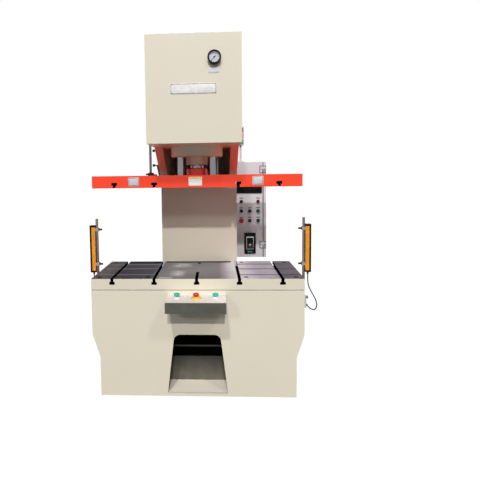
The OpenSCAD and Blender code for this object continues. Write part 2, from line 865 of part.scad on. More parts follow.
module motor_body() {
    color("slategray") {
        difference() {
            union() {
                bar_y(motor_x, motor_z, motor_y, motor_y + motor_l, motor_d - 24);
                for (k = [0:motor_fins - 1]) translate([motor_x, motor_y + motor_end - 2, motor_z])
                    rotate([-90, 0, 0]) rotate([0, 0, 360 / motor_fins * (k + 0.5)])
                        block(motor_d / 2 - fin_h - 4, motor_d / 2 - 4, -fin_t / 2, fin_t / 2,
                            0, motor_l - 2 * motor_end + 4);
                bar_y(motor_x, motor_z, motor_y, motor_y + motor_end, motor_d);
                bar_y(motor_x, motor_z, motor_y + motor_l - motor_end, motor_y + motor_l, motor_d);
                block(motor_x - 75, motor_x + 75, motor_y + 50, motor_y + motor_l - 50,
                    tank_h + tank_lid_t, motor_z - 40);
                block(motor_x - 45, motor_x + 45, motor_y + 70, motor_y + 170,
                    motor_z + 60, motor_z + motor_d / 2 + 40);
                bar_y(motor_x, motor_z, motor_y + motor_l - 1, motor_y + motor_l + fan_shell_l,
                    motor_d - 2);
            }
            bar_y(motor_x, motor_z, motor_y + motor_l, motor_y + motor_l + fan_shell_l - fan_wall,
                motor_d - 2 * fan_wall);
            bar_y(motor_x, motor_z, motor_y + motor_l - 30, motor_y + motor_l + 1,
                motor_shaft_d + 2 * slide_fit);
            for (k = [0:3], r = [24, 50, 76]) fan_slot(90 * k, r);
        }
    }
}

// One curved slot of the grille over the fan
module fan_slot(turn, r) {
    translate([motor_x, motor_y + motor_l + fan_shell_l - 4, motor_z]) rotate([-90, 0, 0])
        rotate([0, 0, turn + 10]) rotate_extrude(angle = 70) translate([r, 0]) square([12, 8]);
}

module motor_fan() {
    color("black") {
        bar_y(motor_x, motor_z, motor_y + motor_l - 28, fan_y + fan_t, motor_shaft_d);
        bar_y(motor_x, motor_z, fan_y, fan_y + fan_t, fan_hub_d);
        for (k = [0:fan_blades - 1]) translate([motor_x, fan_y, motor_z]) rotate([-90, 0, 0])
            rotate([0, 0, 360 / fan_blades * k])
                block(fan_hub_d / 2 - 5, fan_d / 2, -fin_t / 2, fin_t / 2, 2, fan_t - 3);
    }
}

module hydraulic_pump() {
    color("dimgray") {
        bar_y(motor_x, motor_z, motor_y - pump_flange_t, motor_y, pump_flange_d);
        bar_y(motor_x, motor_z, motor_y - pump_l, motor_y - pump_flange_t + 1, pump_d);
        bar_y(motor_x, motor_z, motor_y - pump_l - 12, motor_y - pump_l + 1, 70);
        translate([motor_x, port_y, motor_z]) rotate([0, 90, 0]) cylinder(h = pump_port_l, d = 40);
    }
}

module valve_block() {
    z = tank_h + tank_lid_t;
    color("silver") {
        block(block_x - block_w / 2, block_x + block_w / 2, block_y, block_y + block_d, z, z + block_h);
        for (k = [0, 1]) {
            y = block_y + 38 + solenoid_pitch * k;
            block(block_x - solenoid_w / 2, block_x + solenoid_w / 2, y - solenoid_w / 2,
                y + solenoid_w / 2, z + block_h, z + block_h + solenoid_w - 2);
            for (side = [-1, 1])
                translate([block_x + side * (solenoid_w / 2 - 1), y, z + block_h + solenoid_w / 2 - 1])
                    rotate([0, side * 90, 0]) cylinder(h = spool_l, d = spool_d);
        }
    }
}

// A steel pipe through a list of points, with a ball at each corner
module pipe(points, d) {
    for (i = [0:len(points) - 2]) {
        run = points[i + 1] - points[i];
        translate(points[i]) rotate([0, acos(run[2] / norm(run)), atan2(run[1], run[0])])
            cylinder(h = norm(run), d = d);
    }
    for (i = [1:len(points) - 2]) translate(points[i]) sphere(d = d);
}

module hydraulic_pipes() {
    block_top = tank_h + tank_lid_t + block_h;
    lift_y = block_y - 26;
    barrel_top = head_bottom_z + barrel_l;
    color("silver") {
        pipe([[motor_x + pump_port_l, port_y, motor_z], [block_x - block_w / 2 - 34, port_y, motor_z],
            [block_x - block_w / 2 - 34, port_y, motor_z - 40],
            [block_x - block_w / 2, port_y, motor_z - 40]], pipe_d);
        pipe([[block_x + 30, block_y, block_top - 30], [block_x + 30, lift_y, block_top - 30],
            [block_x + 30, lift_y, barrel_top + 40], [0, lift_y, barrel_top + 40],
            [0, 0, barrel_top + 40], [0, 0, barrel_top]], pipe_d);
        pipe([[block_x - 30, block_y, block_top - 90], [block_x - 30, lift_y, block_top - 90],
            [block_x - 30, lift_y, barrel_port_z], [0, lift_y, barrel_port_z],
            [0, barrel_d / 2 + barrel_boss, barrel_port_z]], pipe_d);
    }
}

module gauge_case() {
    y = head_front_y - gauge_t;
    color("dimgray") difference() {
        union() {
            bar_y(gauge_x, gauge_z, y, head_front_y, gauge_d);
            bar_y(gauge_x, gauge_z, head_front_y - 1, head_skin_y + 30, gauge_stem_d - 2 * press_fit);
        }
        bar_y(gauge_x, gauge_z, y - 1, y + gauge_bowl, gauge_d - 2 * gauge_rim);
        bar_y(gauge_x, gauge_z, y, y + gauge_bowl + 10, needle_shaft_d + 2 * slide_fit);
    }
}

module gauge_needle() {
    y = head_front_y - gauge_t + gauge_bowl - gauge_needle_gap;
    color("black") {
        bar_y(gauge_x, gauge_z, y - 2, y + gauge_needle_gap + 8, needle_shaft_d);
        bar_y(gauge_x, gauge_z, y - 2, y, needle_boss_d);
        translate([gauge_x, y, gauge_z]) rotate([90, 0, 0]) linear_extrude(1.2)
            rotate([0, 0, 225]) polygon([[-12, -2], [-12, 2], [needle_l, 0.6], [needle_l, -0.6]]);
    }
}

module console_box() {
    top = console_z - console_sheet;
    color("gray") difference() {
        block(-console_w / 2, console_w / 2, console_y, table_front, console_z - console_h, top);
        block(-console_w / 2 + console_sheet, console_w / 2 - console_sheet,
            console_y + console_sheet, table_front - console_sheet,
            console_z - console_h + console_sheet, top + 1);
    }
}

module console_lid() {
    color("lightgray") difference() {
        block(-console_w / 2, console_w / 2, console_y, table_front,
            console_z - console_sheet, console_z);
        for (x = [-palm_x, 0, palm_x]) translate([x, console_mid_y, console_z - console_sheet - 1])
            cylinder(h = console_sheet + 2, d = palm_stem_d + 2 * collar_wall);
    }
}

// The three collars that carry the console's mushroom buttons
module button_collars() {
    color("gold") for (x = [-palm_x, 0, palm_x]) translate([x, console_mid_y, console_z]) difference() {
        union() {
            cylinder(h = x == 0 ? stop_collar_h : palm_collar_h, d = x == 0 ? stop_collar_d : palm_d + 2);
            cylinder(h = palm_rise - collar_neck_gap, d = palm_stem_d + 2 * collar_wall + 2);
            translate([0, 0, -collar_below])
                cylinder(h = collar_below + 2, d = palm_stem_d + 2 * collar_wall - 2 * press_fit);
        }
        translate([0, 0, -collar_below - 1])
            cylinder(h = collar_below + palm_rise + 2, d = palm_stem_d + 2 * slide_fit);
    }
}

// A mushroom button that is pressed downwards
module palm_button(x) {
    translate([x, console_mid_y, console_z]) {
        translate([0, 0, -palm_stem_below])
            cylinder(h = palm_stem_below + palm_rise + 1, d = palm_stem_d);
        translate([0, 0, palm_rise]) rotate_extrude()
            polygon(concat([[0, 0], [palm_d / 2 - 2, 0], [palm_d / 2, 2], [palm_d / 2, 8]],
                arc([palm_d / 2 - palm_edge_r, 8], palm_edge_r, 15, 90, 5), [[0, palm_head_h]]));
    }
}

module palm_button_left() { color("seagreen") palm_button(-palm_x); }

module palm_button_right() { color("seagreen") palm_button(palm_x); }

module console_stop() { color("red") palm_button(0); }

module cabinet_body() {
    t = cabinet_sheet;
    color("lightgray") {
        difference() {
            block(cabinet_x, cabinet_right, cabinet_y, cabinet_y + cabinet_d, cabinet_z, cabinet_top);
            block(cabinet_x + t, cabinet_right - t, cabinet_y - 1, cabinet_y + cabinet_d - t,
                cabinet_z + t, cabinet_top - t);
        }
        block(cabinet_right - hinge_strip, cabinet_right, door_face_y, cabinet_y + 1,
            cabinet_z, cabinet_top);
    }
}

module cabinet_door() {
    t = cabinet_sheet;
    color("lightgray") {
        difference() {
            door_pan_shape(door_left, door_right, door_face_y, cabinet_y - panel_gap,
                cabinet_z + 1, cabinet_top - 1, t, 1);
            block(screen_x() - screen_w / 2 + screen_rim - 1, screen_x() + screen_w / 2 - screen_rim + 1,
                door_face_y - 1, door_face_y + t + 1, screen_z + screen_rim - 1,
                screen_z + screen_h - screen_rim + 1);
            for (place = button_places)
                bar_y(button_x[place[0]], button_z[place[1]], door_face_y - 1, door_face_y + t + 1,
                    button_stem_d + 2 * slide_fit);
        }
        for (z = cabinet_hinge_z) door_knuckle(cabinet_hinge_x, cabinet_hinge_y, z,
            cabinet_hinge_x - hinge_leaf - 3, cabinet_hinge_x, cabinet_hinge_y + 3, door_face_y + 1);
    }
}

// The middle of the door, where the screen sits
function screen_x() = (door_left + door_right) / 2;

// A row of like modules on the mounting plate, side by side along X
module device_row(x, count, pitch, w, reach, z0, z1) {
    for (k = [0:count - 1])
        block(x + pitch * k, x + pitch * k + w, rail_y - reach, rail_y + 1, z0, z1);
}

module control_panel() {
    plate_x = cabinet_x + plate_margin;
    plate_end = cabinet_right - plate_margin;
    back = cabinet_y + cabinet_d - cabinet_sheet;
    color("whitesmoke") {
        block(plate_x, plate_end, rail_y + rail_h - 1, rail_y + rail_h + 2,
            cabinet_z + 30, cabinet_top - 30);
        for (x = [plate_x + 14, plate_end - 14], z = [cabinet_z + 45, cabinet_top - 45])
            bar_y(x, z, rail_y + rail_h, back, 12);
        for (z = rail_z)
            block(plate_x + 5, plate_end - 5, rail_y, rail_y + rail_h, z - rail_w / 2, z + rail_w / 2);
        block(plate_x + 20, plate_x + 130, rail_y - 110, rail_y + rail_h, cabinet_z + 50,
            cabinet_z + 200);
        device_row(plate_x + 12, 4, 52, 44, 75, rail_z[0] - 20, rail_z[0] + 60);
        device_row(plate_x + 20, 1, 0, 140, 65, rail_z[1] - 50, rail_z[1] + 50);
        device_row(plate_x + 165, 1, 0, 50, 80, rail_z[1] - 60, rail_z[1] + 60);
        device_row(plate_x + 12, 10, 21, 17, 40, rail_z[2] - 30, rail_z[2] + 30);
    }
}

module screen_panel() {
    x = screen_x();
    color("black") {
        block(x - screen_w / 2, x + screen_w / 2, door_face_y - screen_t, door_face_y,
            screen_z, screen_z + screen_h);
        block(x - screen_w / 2 + screen_rim, x + screen_w / 2 - screen_rim, door_face_y - 1,
            door_face_y + screen_back, screen_z + screen_rim, screen_z + screen_h - screen_rim);
    }
}

module keypad_unit() {
    color("black") difference() {
        block(keypad_x - keypad_w / 2, keypad_x + keypad_w / 2, door_face_y - keypad_t, door_face_y,
            keypad_z, keypad_z + keypad_h);
        block(keypad_x - keypad_w / 2 + keypad_rim, keypad_x + keypad_w / 2 - keypad_rim,
            door_face_y - keypad_t - 1, door_face_y - keypad_t + 3,
            keypad_z + 2 * keypad_rim, keypad_z + keypad_h - 2 * keypad_rim);
    }
}

// A push button of the cabinet's door
module push_button(x, z, d) {
    face = door_face_y - cap_travel - 2;
    bar_y(x, z, face - 1, door_face_y + button_stem_l, button_stem_d);
    bar_y(x, z, face - cap_t, face, d);
}

module selector_knob() {
    x = button_x[0];
    z = button_z[1];
    grip = cap_d / 2 - 1;
    color("black") {
        bar_y(x, z, door_face_y - selector_t, door_face_y + button_stem_l, button_stem_d);
        bar_y(x, z, door_face_y - selector_t, door_face_y - panel_gap, cap_d);
        translate([x, door_face_y - selector_t, z]) rotate([0, 45, 0])
            block(-selector_grip_w / 2, selector_grip_w / 2, -selector_grip_h, 1, -grip, grip);
    }
}

module cabinet_stop() { color("red") push_button(button_x[0], button_z[0], palm_d); }

module push_teal() { color("teal") push_button(button_x[1], button_z[1], cap_d); }

module push_green_upper() { color("seagreen") push_button(button_x[2], button_z[1], cap_d); }

module push_red() { color("firebrick") push_button(button_x[1], button_z[0], cap_d); }

module push_green_lower() { color("seagreen") push_button(button_x[2], button_z[0], cap_d); }

// The two fixed indicator lamps in the top row
module pilot_lamps() {
    color("maroon") for (k = [0, 2]) {
        bar_y(button_x[k], button_z[2], door_face_y - 2, door_face_y + 20, button_stem_d);
        bar_y(button_x[k], button_z[2], door_face_y - lamp_t, door_face_y, cap_d);
    }
}

// Height of the tower's lamps over their first module's foot
function tower_stack() = 3 * lamp_h + 2 * tower_gap;

module tower_pole() {
    color("silver") translate([tower_x, tower_y, cabinet_top]) {
        cylinder(h = tower_foot_h, d = tower_foot_d);
        cylinder(h = lamp_pole, d = tower_tube_d);
        translate([0, 0, lamp_pole - 8]) cylinder(h = 8, d = lamp_d + 2);
        cylinder(h = lamp_pole + tower_stack() + tower_cap_h, d = tower_core_d);
        for (k = [1, 2]) translate([0, 0, lamp_pole + k * lamp_h + (k - 1) * tower_gap])
            cylinder(h = tower_gap, d = lamp_d);
        translate([0, 0, lamp_pole + tower_stack()]) cylinder(h = tower_cap_h, d = lamp_d);
    }
}

module tower_lenses() {
    color("orange") for (k = [0:2])
        translate([tower_x, tower_y, cabinet_top + lamp_pole + k * (lamp_h + tower_gap)]) difference() {
            cylinder(h = lamp_h, d = lamp_d - 2);
            translate([0, 0, -1]) cylinder(h = lamp_h + 2, d = tower_core_d + 2 * press_fit);
        }
}

module striker_rod() {
    half = striker_foot / 2;
    color("dimgray") translate([striker_x, striker_y, ram_top]) {
        cylinder(h = striker_l, d = striker_d);
        block(-half, half + 4, -half, half, 0, striker_foot_h);
        block(half, striker_toe, -half, half, 0, striker_toe_h);
        translate([-half, 0, striker_foot_h / 2]) rotate([0, -90, 0]) cylinder(h = 18, d = 14);
        for (z = striker_trips) translate([0, 0, z]) cylinder(h = trip_h, d = trip_d);
    }
}

module limit_switches() {
    x0 = striker_x + trip_d / 2 + switch_gap + 1;
    color("black") for (z = [switch_low_z, switch_high_z]) {
        block(x0, -side_out, striker_y - switch_arm / 2, striker_y + switch_arm / 2,
            z - switch_arm / 2, z + switch_arm / 2);
        block(x0, x0 + switch_w, striker_y - switch_d / 2, striker_y + switch_d / 2,
            z - switch_h / 2, z + switch_h / 2);
    }
    color("black") switch_duct();
}

// Where the sloped edge of the throat lies at a height
function throat_y(z) = column_y - (column_y + throat_start) * (z - throat_end_z)
    / (head_bottom_z - throat_end_z);

// The duct for the switches' leads, along the sloped edge of the left side plate
module switch_duct() {
    top = switch_low_z;
    low = switch_low_z - duct_h;
    plate_yz(-side_out - duct_t, -side_out) polygon([
        [throat_y(top) + duct_inset, top], [throat_y(low) + duct_inset, low],
        [throat_y(low) + duct_inset + duct_w, low], [throat_y(top) + duct_inset + duct_w, top]]);
}

module curtain_posts() {
    half = post_d / 2 + 15;
    color("dimgray") {
        for (x = [post_left_x, post_right_x])
            translate([x, -curtain_y, post_low]) cylinder(h = post_z - post_low, d = post_d);
        for (z = post_brackets) {
            block(-base_w / 2 - post_d - 4, -base_w / 2, -curtain_y - half, -curtain_y + half,
                z, z + bracket_h);
            block(base_w / 2, post_right_x + 3, -curtain_y - half, -curtain_y + half,
                z, z + bracket_h);
        }
    }
}

// Middle of a curtain's housing, sideways
function housing_x(side) = side > 0 ? post_right_x + post_d / 2 + housing_gap + curtain_w / 2
    : post_left_x - post_d / 2 - housing_gap - curtain_w / 2;

module curtain_housings() {
    w = curtain_w / 2;
    cap = w + curtain_cap_rim;
    color("orange") for (side = [-1, 1]) translate([housing_x(side), -curtain_y, curtain_z]) {
        difference() {
            block(-w, w, -w, w, curtain_cap_h - 1, curtain_l - curtain_cap_h + 1);
            block(side > 0 ? -w - 1 : w - window_depth, side > 0 ? -w + window_depth : w + 1,
                -window_w / 2, window_w / 2, window_end, curtain_l - window_end);
        }
        for (z = [0, curtain_l - curtain_cap_h]) block(-cap, cap, -cap, cap, z, z + curtain_cap_h);
        translate([0, 0, -gland_nub_l]) cylinder(h = gland_nub_l + 1, d = gland_nub_d);
    }
}

module curtain_clamps() {
    reach = post_d / 2 + clamp_wall;
    color("silver") for (side = [-1, 1], z = clamp_z) {
        post = side > 0 ? post_right_x : post_left_x;
        difference() {
            union() {
                block(side > 0 ? post - reach : housing_x(side) + curtain_w / 2,
                    side > 0 ? housing_x(side) - curtain_w / 2 : post + reach,
                    -curtain_y - clamp_d / 2, -curtain_y + clamp_d / 2,
                    z - clamp_h / 2, z + clamp_h / 2);
                translate([post - side * (reach - 1), -curtain_y, z]) rotate([0, side * -90, 0])
                    cylinder(h = clamp_knob_l, d = clamp_knob_d);
            }
            translate([post, -curtain_y, z - clamp_h])
                cylinder(h = 2 * clamp_h, d = post_d + 2 * press_fit);
        }
    }
}

// The two socket boxes on the base's sides that the curtain cables run into
module cable_boxes() {
    right = right_route[len(right_route) - 1];
    left = left_route[len(left_route) - 1];
    color("silver") {
        block(base_w / 2, max(base_w / 2 + box_right_w, right[0] - 10), right[1] - box_right_d / 2,
            right[1] + box_right_d / 2, right[2] - box_right_drop,
            right[2] - box_right_drop + box_right_h);
        translate(right) rotate([0, -45, 0]) cylinder(h = box_gland_l, d = box_gland_d);
        translate([base_w / 2 + box_right_w - 1, right[1], right[2] + box_knob_up]) rotate([0, 90, 0])
            cylinder(h = box_knob_l, d = box_knob_d);
        block(min(-base_w / 2 - box_left_w, left[0] - 16), -base_w / 2, left[1] - box_left_d / 2,
            left[1] + box_left_d / 2, left[2] + box_left_rise, left[2] + box_left_rise + box_left_h);
        translate(left) cylinder(h = box_left_rise + 1, d = box_gland_d);
    }
}

// Unit vector along a run
function unit(v) = v / norm(v);

// Direction of a route at one of its points
function heading(route, i) = unit(route[min(i + 1, len(route) - 1)] - route[max(i - 1, 0)]);

// A round cable swept along its route, with rings square to it
module cable(route, d, across) {
    n = cable_sides;
    last = len(route) - 1;
    points = [for (i = [0:last]) let (t = heading(route, i), s = unit(cross(t, across)), u = cross(s, t))
        for (k = [0:n - 1]) route[i] + d / 2 * (cos(360 * k / n) * s + sin(360 * k / n) * u)];
    walls = [for (i = [0:last - 1], k = [0:n - 1])
        let (a = i * n + k, b = i * n + (k + 1) % n) each [[a, b, b + n], [a, b + n, a + n]]];
    start = [for (k = [0:n - 1]) n - 1 - k];
    end = [for (k = [0:n - 1]) last * n + k];
    polyhedron(points, concat(walls, [start, end]));
}

module curtain_cable_left() { color("dimgray") cable(left_route, cable_d, [1, 0, 0]); }

module curtain_cable_right() { color("dimgray") cable(right_route, cable_d, [0, 1, 0]); }

frame_side_left();
frame_side_right();
head_front_plate();
head_top_plate();
head_bottom_plate();
column_front_plate();
column_back_plate();
base_front_plate();
base_side_left();
base_side_right();
base_back_plates();
base_top_plate();
knee_liner();
rear_door();
door_hinges();
bolster_table();
table_screws();
cylinder_body();
rod_gland();
piston_rod();
rod_collar();
guide_rods();
guide_bushes();
ram_plate();
oil_tank();
motor_body();
motor_fan();
hydraulic_pump();
valve_block();
hydraulic_pipes();
gauge_case();
gauge_needle();
console_box();
console_lid();
palm_button_left();
palm_button_right();
button_collars();
console_stop();
cabinet_body();
cabinet_door();
control_panel();
screen_panel();
keypad_unit();
selector_knob();
cabinet_stop();
push_teal();
push_green_upper();
push_red();
push_green_lower();
pilot_lamps();
tower_pole();
tower_lenses();
striker_rod();
limit_switches();
curtain_posts();
curtain_housings();
curtain_clamps();
cable_boxes();
curtain_cable_left();
curtain_cable_right();
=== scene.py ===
"""Looks of a gap-frame hydraulic press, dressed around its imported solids.

Everything is in metres. X runs to the right, Y to the back and Z up, with the
origin on the floor under the ram's axis.
"""

import logging
import math
from dataclasses import dataclass, field
from enum import Enum
from typing import Iterable, Sequence

import bmesh
import bpy
from mathutils import Euler, Matrix, Vector


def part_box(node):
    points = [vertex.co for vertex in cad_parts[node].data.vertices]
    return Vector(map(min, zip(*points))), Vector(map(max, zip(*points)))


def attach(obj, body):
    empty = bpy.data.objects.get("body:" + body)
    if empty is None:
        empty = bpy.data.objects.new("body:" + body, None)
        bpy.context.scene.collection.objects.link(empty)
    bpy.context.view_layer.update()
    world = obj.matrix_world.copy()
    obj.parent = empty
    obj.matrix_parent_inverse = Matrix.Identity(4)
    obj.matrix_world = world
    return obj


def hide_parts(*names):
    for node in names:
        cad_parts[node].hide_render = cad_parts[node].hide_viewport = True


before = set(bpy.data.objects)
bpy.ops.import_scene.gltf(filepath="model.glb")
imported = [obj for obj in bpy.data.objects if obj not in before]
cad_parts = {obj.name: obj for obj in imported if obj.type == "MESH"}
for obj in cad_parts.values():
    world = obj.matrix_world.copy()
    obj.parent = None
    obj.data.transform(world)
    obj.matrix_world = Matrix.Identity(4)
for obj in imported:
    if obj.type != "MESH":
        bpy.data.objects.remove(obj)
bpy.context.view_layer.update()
LOG = logging.getLogger("press")
TINY = 1e-6

Pair = tuple[float, float]
Point = tuple[float, float, float]
Colour = tuple[int, int, int]
Channels = tuple[float, float, float, float]
Socket = bpy.types.NodeSocket
Material = bpy.types.Material

WHITE: Channels = (1.0, 1.0, 1.0, 1.0)
BLACK: Channels = (0.0, 0.0, 0.0, 1.0)


class Axis(Enum):
    """A direction that a round piece or a pattern faces."""

    FRONT = (math.pi / 2, 0.0, 0.0)
    UP = (0.0, 0.0, 0.0)
    DOWN = (math.pi, 0.0, 0.0)

    def turn(self) -> Matrix:
        """Returns the rotation that takes +Z to this direction."""
        return Euler(self.value).to_matrix().to_4x4()


def linear(colour: Colour) -> Channels:
    """Turns a colour as it is seen on a screen into Blender's linear values.

    Args:
        colour: Red, green and blue from 0 to 255.

    Returns:
        The four linear channels, with full opacity.
    """
    parts = [c / 255 for c in colour]
    low = [p / 12.92 if p <= 0.04045 else ((p + 0.055) / 1.055) ** 2.4 for p in parts]
    return (low[0], low[1], low[2], 1.0)


def scaled(channels: Channels, share: float, lift: float = 0.0) -> Channels:
    """Returns linear channels times a share, raised by a lift, and white at the most."""
    red, green, blue = (min(1.0, c * share + lift) for c in channels[:3])
    return (red, green, blue, 1.0)


def darker(colour: Colour, step: int) -> Colour:
    """Returns a screen colour with every channel lower by a step."""
    return (colour[0] - step, colour[1] - step, colour[2] - step)


def middle(node: str) -> Point:
    """Finds the middle of a CAD node's box, without the small slack of round facets.

    Args:
        node: The node's name.

    Returns:
        X, Y and Z of the middle.
    """
    low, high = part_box(node)
    x, y, z = (round((a + b) / 2, 4) for a, b in zip(low, high))
    return (x, y, z)


class Graph:
    """A material's node tree, built one node at a time.

    Nearly all of a noise's values lie between the two usual ones.
    """

    usual: Pair = (0.3, 0.7)

    def __init__(self, name: str) -> None:
        """Starts an empty material with its shader, its output and its coordinates.

        Args:
            name: The material's name.
        """
        self.material = bpy.data.materials.new(name)
        self.material.use_nodes = True
        self.tree = self.material.node_tree
        self.tree.nodes.clear()
        self.place = self.add("ShaderNodeTexCoord").outputs["Object"]
        self.shader = self.add("ShaderNodeBsdfPrincipled")
        output = self.add("ShaderNodeOutputMaterial")
        self.tree.links.new(self.shader.outputs[0], output.inputs[0])

    def fill(self, entry: Socket, value: object) -> None:
        """Links an input to a socket, or gives it a plain value.

        Args:
            entry: The node's input.
            value: The socket or the value.
        """
        if isinstance(value, Socket):
            self.tree.links.new(value, entry)
        else:
            entry.default_value = value

    def add(self, kind: str, settings: dict | None = None, inputs: dict | None = None) -> bpy.types.Node:
        """Adds a node, sets its options and fills its inputs.

        Args:
            kind: The node's type name.
            settings: Options of the node by name.
            inputs: Values or sockets by input name or number.

        Returns:
            The new node.
        """
        node = self.tree.nodes.new(kind)
        for key, value in (settings or {}).items():
            setattr(node, key, value)
        for key, value in (inputs or {}).items():
            self.fill(node.inputs[key], value)
        return node

    def set(self, **values: object) -> None:
        """Fills the shader's inputs, with underscores for the spaces in their names."""
        for key, value in values.items():
            self.fill(self.shader.inputs[key.replace("_", " ")], value)

    def math(self, operation: str, a: object, b: object = 0.0, c: object = 0.0) -> Socket:
        """Returns the result of a math node on up to three values."""
        return self.add("ShaderNodeMath", {"operation": operation}, {0: a, 1: b, 2: c}).outputs[0]

    def noise(self, scale: float, detail: float = 4.0, stretch: Point = (1, 1, 1),
              rough: float = 0.55) -> Socket:
        """Adds a noise on the coordinates.

        Args:
            scale: How many cells it has in a metre.
            detail: How many finer layers lie in it.
            stretch: How much denser the cells lie along each axis.
            rough: How strong the finer layers are.

        Returns:
            A value from 0 to 1.
        """
        place = self.add("ShaderNodeMapping", None, {"Vector": self.place, "Scale": stretch}).outputs[0]
        return self.add("ShaderNodeTexNoise", {"normalize": True}, {
            "Vector": place, "Scale": scale, "Detail": detail, "Roughness": rough}).outputs["Fac"]

    def ramp(self, value: object, low: float, high: float, start: float = 0.0,
             end: float = 1.0) -> Socket:
        """Maps a value from one stretch to another, held at both ends.

        Args:
            value: The value.
            low: Where the value gives the start.
            high: Where the value gives the end.
            start: The result at the low end.
            end: The result at the high end.

        Returns:
            The mapped value.
        """
        return self.add("ShaderNodeMapRange", {"clamp": True}, {
            "Value": value, "From Min": low, "From Max": high, "To Min": start,
            "To Max": end}).outputs[0]

    def clouds(self, scale: float, detail: float, start: float = 0.0, end: float = 1.0,
               stretch: Point = (1, 1, 1)) -> Socket:
        """Returns a noise spread from start to end, at this many cells a metre."""
        return self.ramp(self.noise(scale, detail, stretch), *self.usual, start, end)

    def mix(self, amount: object, a: object, b: object) -> Socket:
        """Returns a colour between a and b."""
        return self.add("ShaderNodeMix", {"data_type": "RGBA"}, {0: amount, 6: a, 7: b}).outputs[2]

    def coordinate(self, axis: str) -> Socket:
        """Returns one coordinate of the object, in metres, by its letter."""
        return self.add("ShaderNodeSeparateXYZ", None, {0: self.place}).outputs[axis]

    def away(self, axis: str, place: float = 0.0) -> Socket:
        """Returns how far a coordinate lies from a place, on either side."""
        return self.math("ABSOLUTE", self.math("SUBTRACT", self.coordinate(axis), place))

    def upward(self) -> Socket:
        """Returns how far a face looks up, from -1 to 1."""
        normal = self.add("ShaderNodeNewGeometry").outputs["Normal"]
        return self.add("ShaderNodeSeparateXYZ", None, {0: normal}).outputs["Z"]

    def within(self, axis: str, low: float, high: float) -> Socket:
        """Marks what lies between two values of a coordinate.

        Args:
            axis: The coordinate's letter.
            low: The lower value.
            high: The upper value.

        Returns:
            1 between them and 0 elsewhere.
        """
        value = self.coordinate(axis)
        above = self.math("GREATER_THAN", value, low)
        return self.math("MULTIPLY", above, self.math("LESS_THAN", value, high))

    def soft(self, axis: str, low: float, high: float, edge: float) -> Socket:
        """Marks what lies between two values of a coordinate, with soft edges.

        Args:
            axis: The coordinate's letter.
            low: The lower value.
            high: The upper value.
            edge: How far each edge fades outside them.

        Returns:
            1 between them, fading to 0.
        """
        value = self.coordinate(axis)
        rise = self.ramp(value, low - edge, low)
        return self.math("MULTIPLY", rise, self.ramp(value, high, high + edge, 1.0, 0.0))

    def bump(self, height: object, distance: float) -> Socket:
        """Returns a normal raised by a height, this many metres at 1."""
        return self.add("ShaderNodeBump", None, {"Height": height, "Distance": distance}).outputs[0]


@dataclass(frozen=True)
class Hollow:
    """A box in which a finish gives way to another colour, such as the inside of a slot."""

    low: Point
    high: Point
    colour: Colour

    def mask(self, g: Graph) -> Socket:
        """Returns 1 inside the box and 0 outside it."""
        sides = [g.within(axis, self.low[k], self.high[k]) for k, axis in enumerate("XYZ")]
        return g.math("MULTIPLY", g.math("MULTIPLY", sides[0], sides[1]), sides[2])


@dataclass(frozen=True)
class Enamel:
    """Sprayed machine enamel with orange peel, faint mottling and a tone that rises low down: dust on
    the frame, painted light in the knee recess.

    The gloss is the surface's roughness, and the spread is how far it strays to both sides.
    """

    name: str
    colour: Colour
    gloss: float = 0.38
    spread: Pair = (-0.05, 0.07)
    mottle: float = 0.06
    peel: float = 0.00005
    peel_cells: float = 420.0
    dust_and_light_height: float = 0.0
    dust_and_light: Colour = (172, 168, 148)
    dust_and_light_amount: float = 0.12
    hollows: tuple[Hollow, ...] = ()

    def make(self) -> Material:
        """Builds the finish.

        Returns:
            The material.
        """
        g = Graph(self.name)
        base = linear(self.colour)
        colour = g.mix(g.clouds(3.1, 5), base, scaled(base, 1 - 2 * self.mottle))
        # A tone that rises towards the floor: real dust on the frame; in the dark knee recess it is
        # painted light, lighter low down.
        if self.dust_and_light_height > 0:
            low = g.ramp(g.coordinate("Z"), 0.0, self.dust_and_light_height, self.dust_and_light_amount, 0.0)
            amount = g.math("MULTIPLY", low, g.ramp(g.noise(9, 6), 0.35, 0.75, 0.6, 1.0))
            colour = g.mix(amount, colour, linear(self.dust_and_light))
        shine: object = 0.5
        # A hollow takes its own colour and loses its reflection; the palette's hollow inside the base is
        # painted shade, the one on the knee recess's floor painted light.
        for hollow in self.hollows:
            mask = hollow.mask(g)
            colour = g.mix(mask, colour, linear(hollow.colour))
            shine = g.math("MULTIPLY", g.math("SUBTRACT", 1.0, mask), shine)
        g.set(Base_Color=colour, Specular_IOR_Level=shine,
              Roughness=g.clouds(14, 3, *(self.gloss + step for step in self.spread)),
              Normal=g.bump(g.noise(self.peel_cells, 2), self.peel))
        return g.material


@dataclass(frozen=True)
class BareMetal:
    """Ground, drawn or cast metal with streaks along one axis."""

    name: str
    colour: Colour
    rough: float = 0.3
    spread: Pair = (-0.07, 0.1)
    streak: Point = (1, 1, 1)
    grain: float = 160.0
    depth: float = 0.00003
    tarnish: float = 0.25
    metal: float = 1.0

    def make(self) -> Material:
        """Builds the finish.

        Returns:
            The material.
        """
        g = Graph(self.name)
        base = linear(self.colour)
        dull = scaled(base, 1 - self.tarnish)
        lines = g.noise(self.grain, 3, self.streak)
        colour = g.mix(g.ramp(g.noise(7, 5), 0.35, 0.7), base, dull)
        g.set(Base_Color=g.mix(g.ramp(lines, *g.usual, 0.0, 0.35), colour, dull),
              Metallic=self.metal,
              Roughness=g.ramp(lines, 0.25, 0.75, *(self.rough + step for step in self.spread)),
              Normal=g.bump(lines, self.depth))
        return g.material


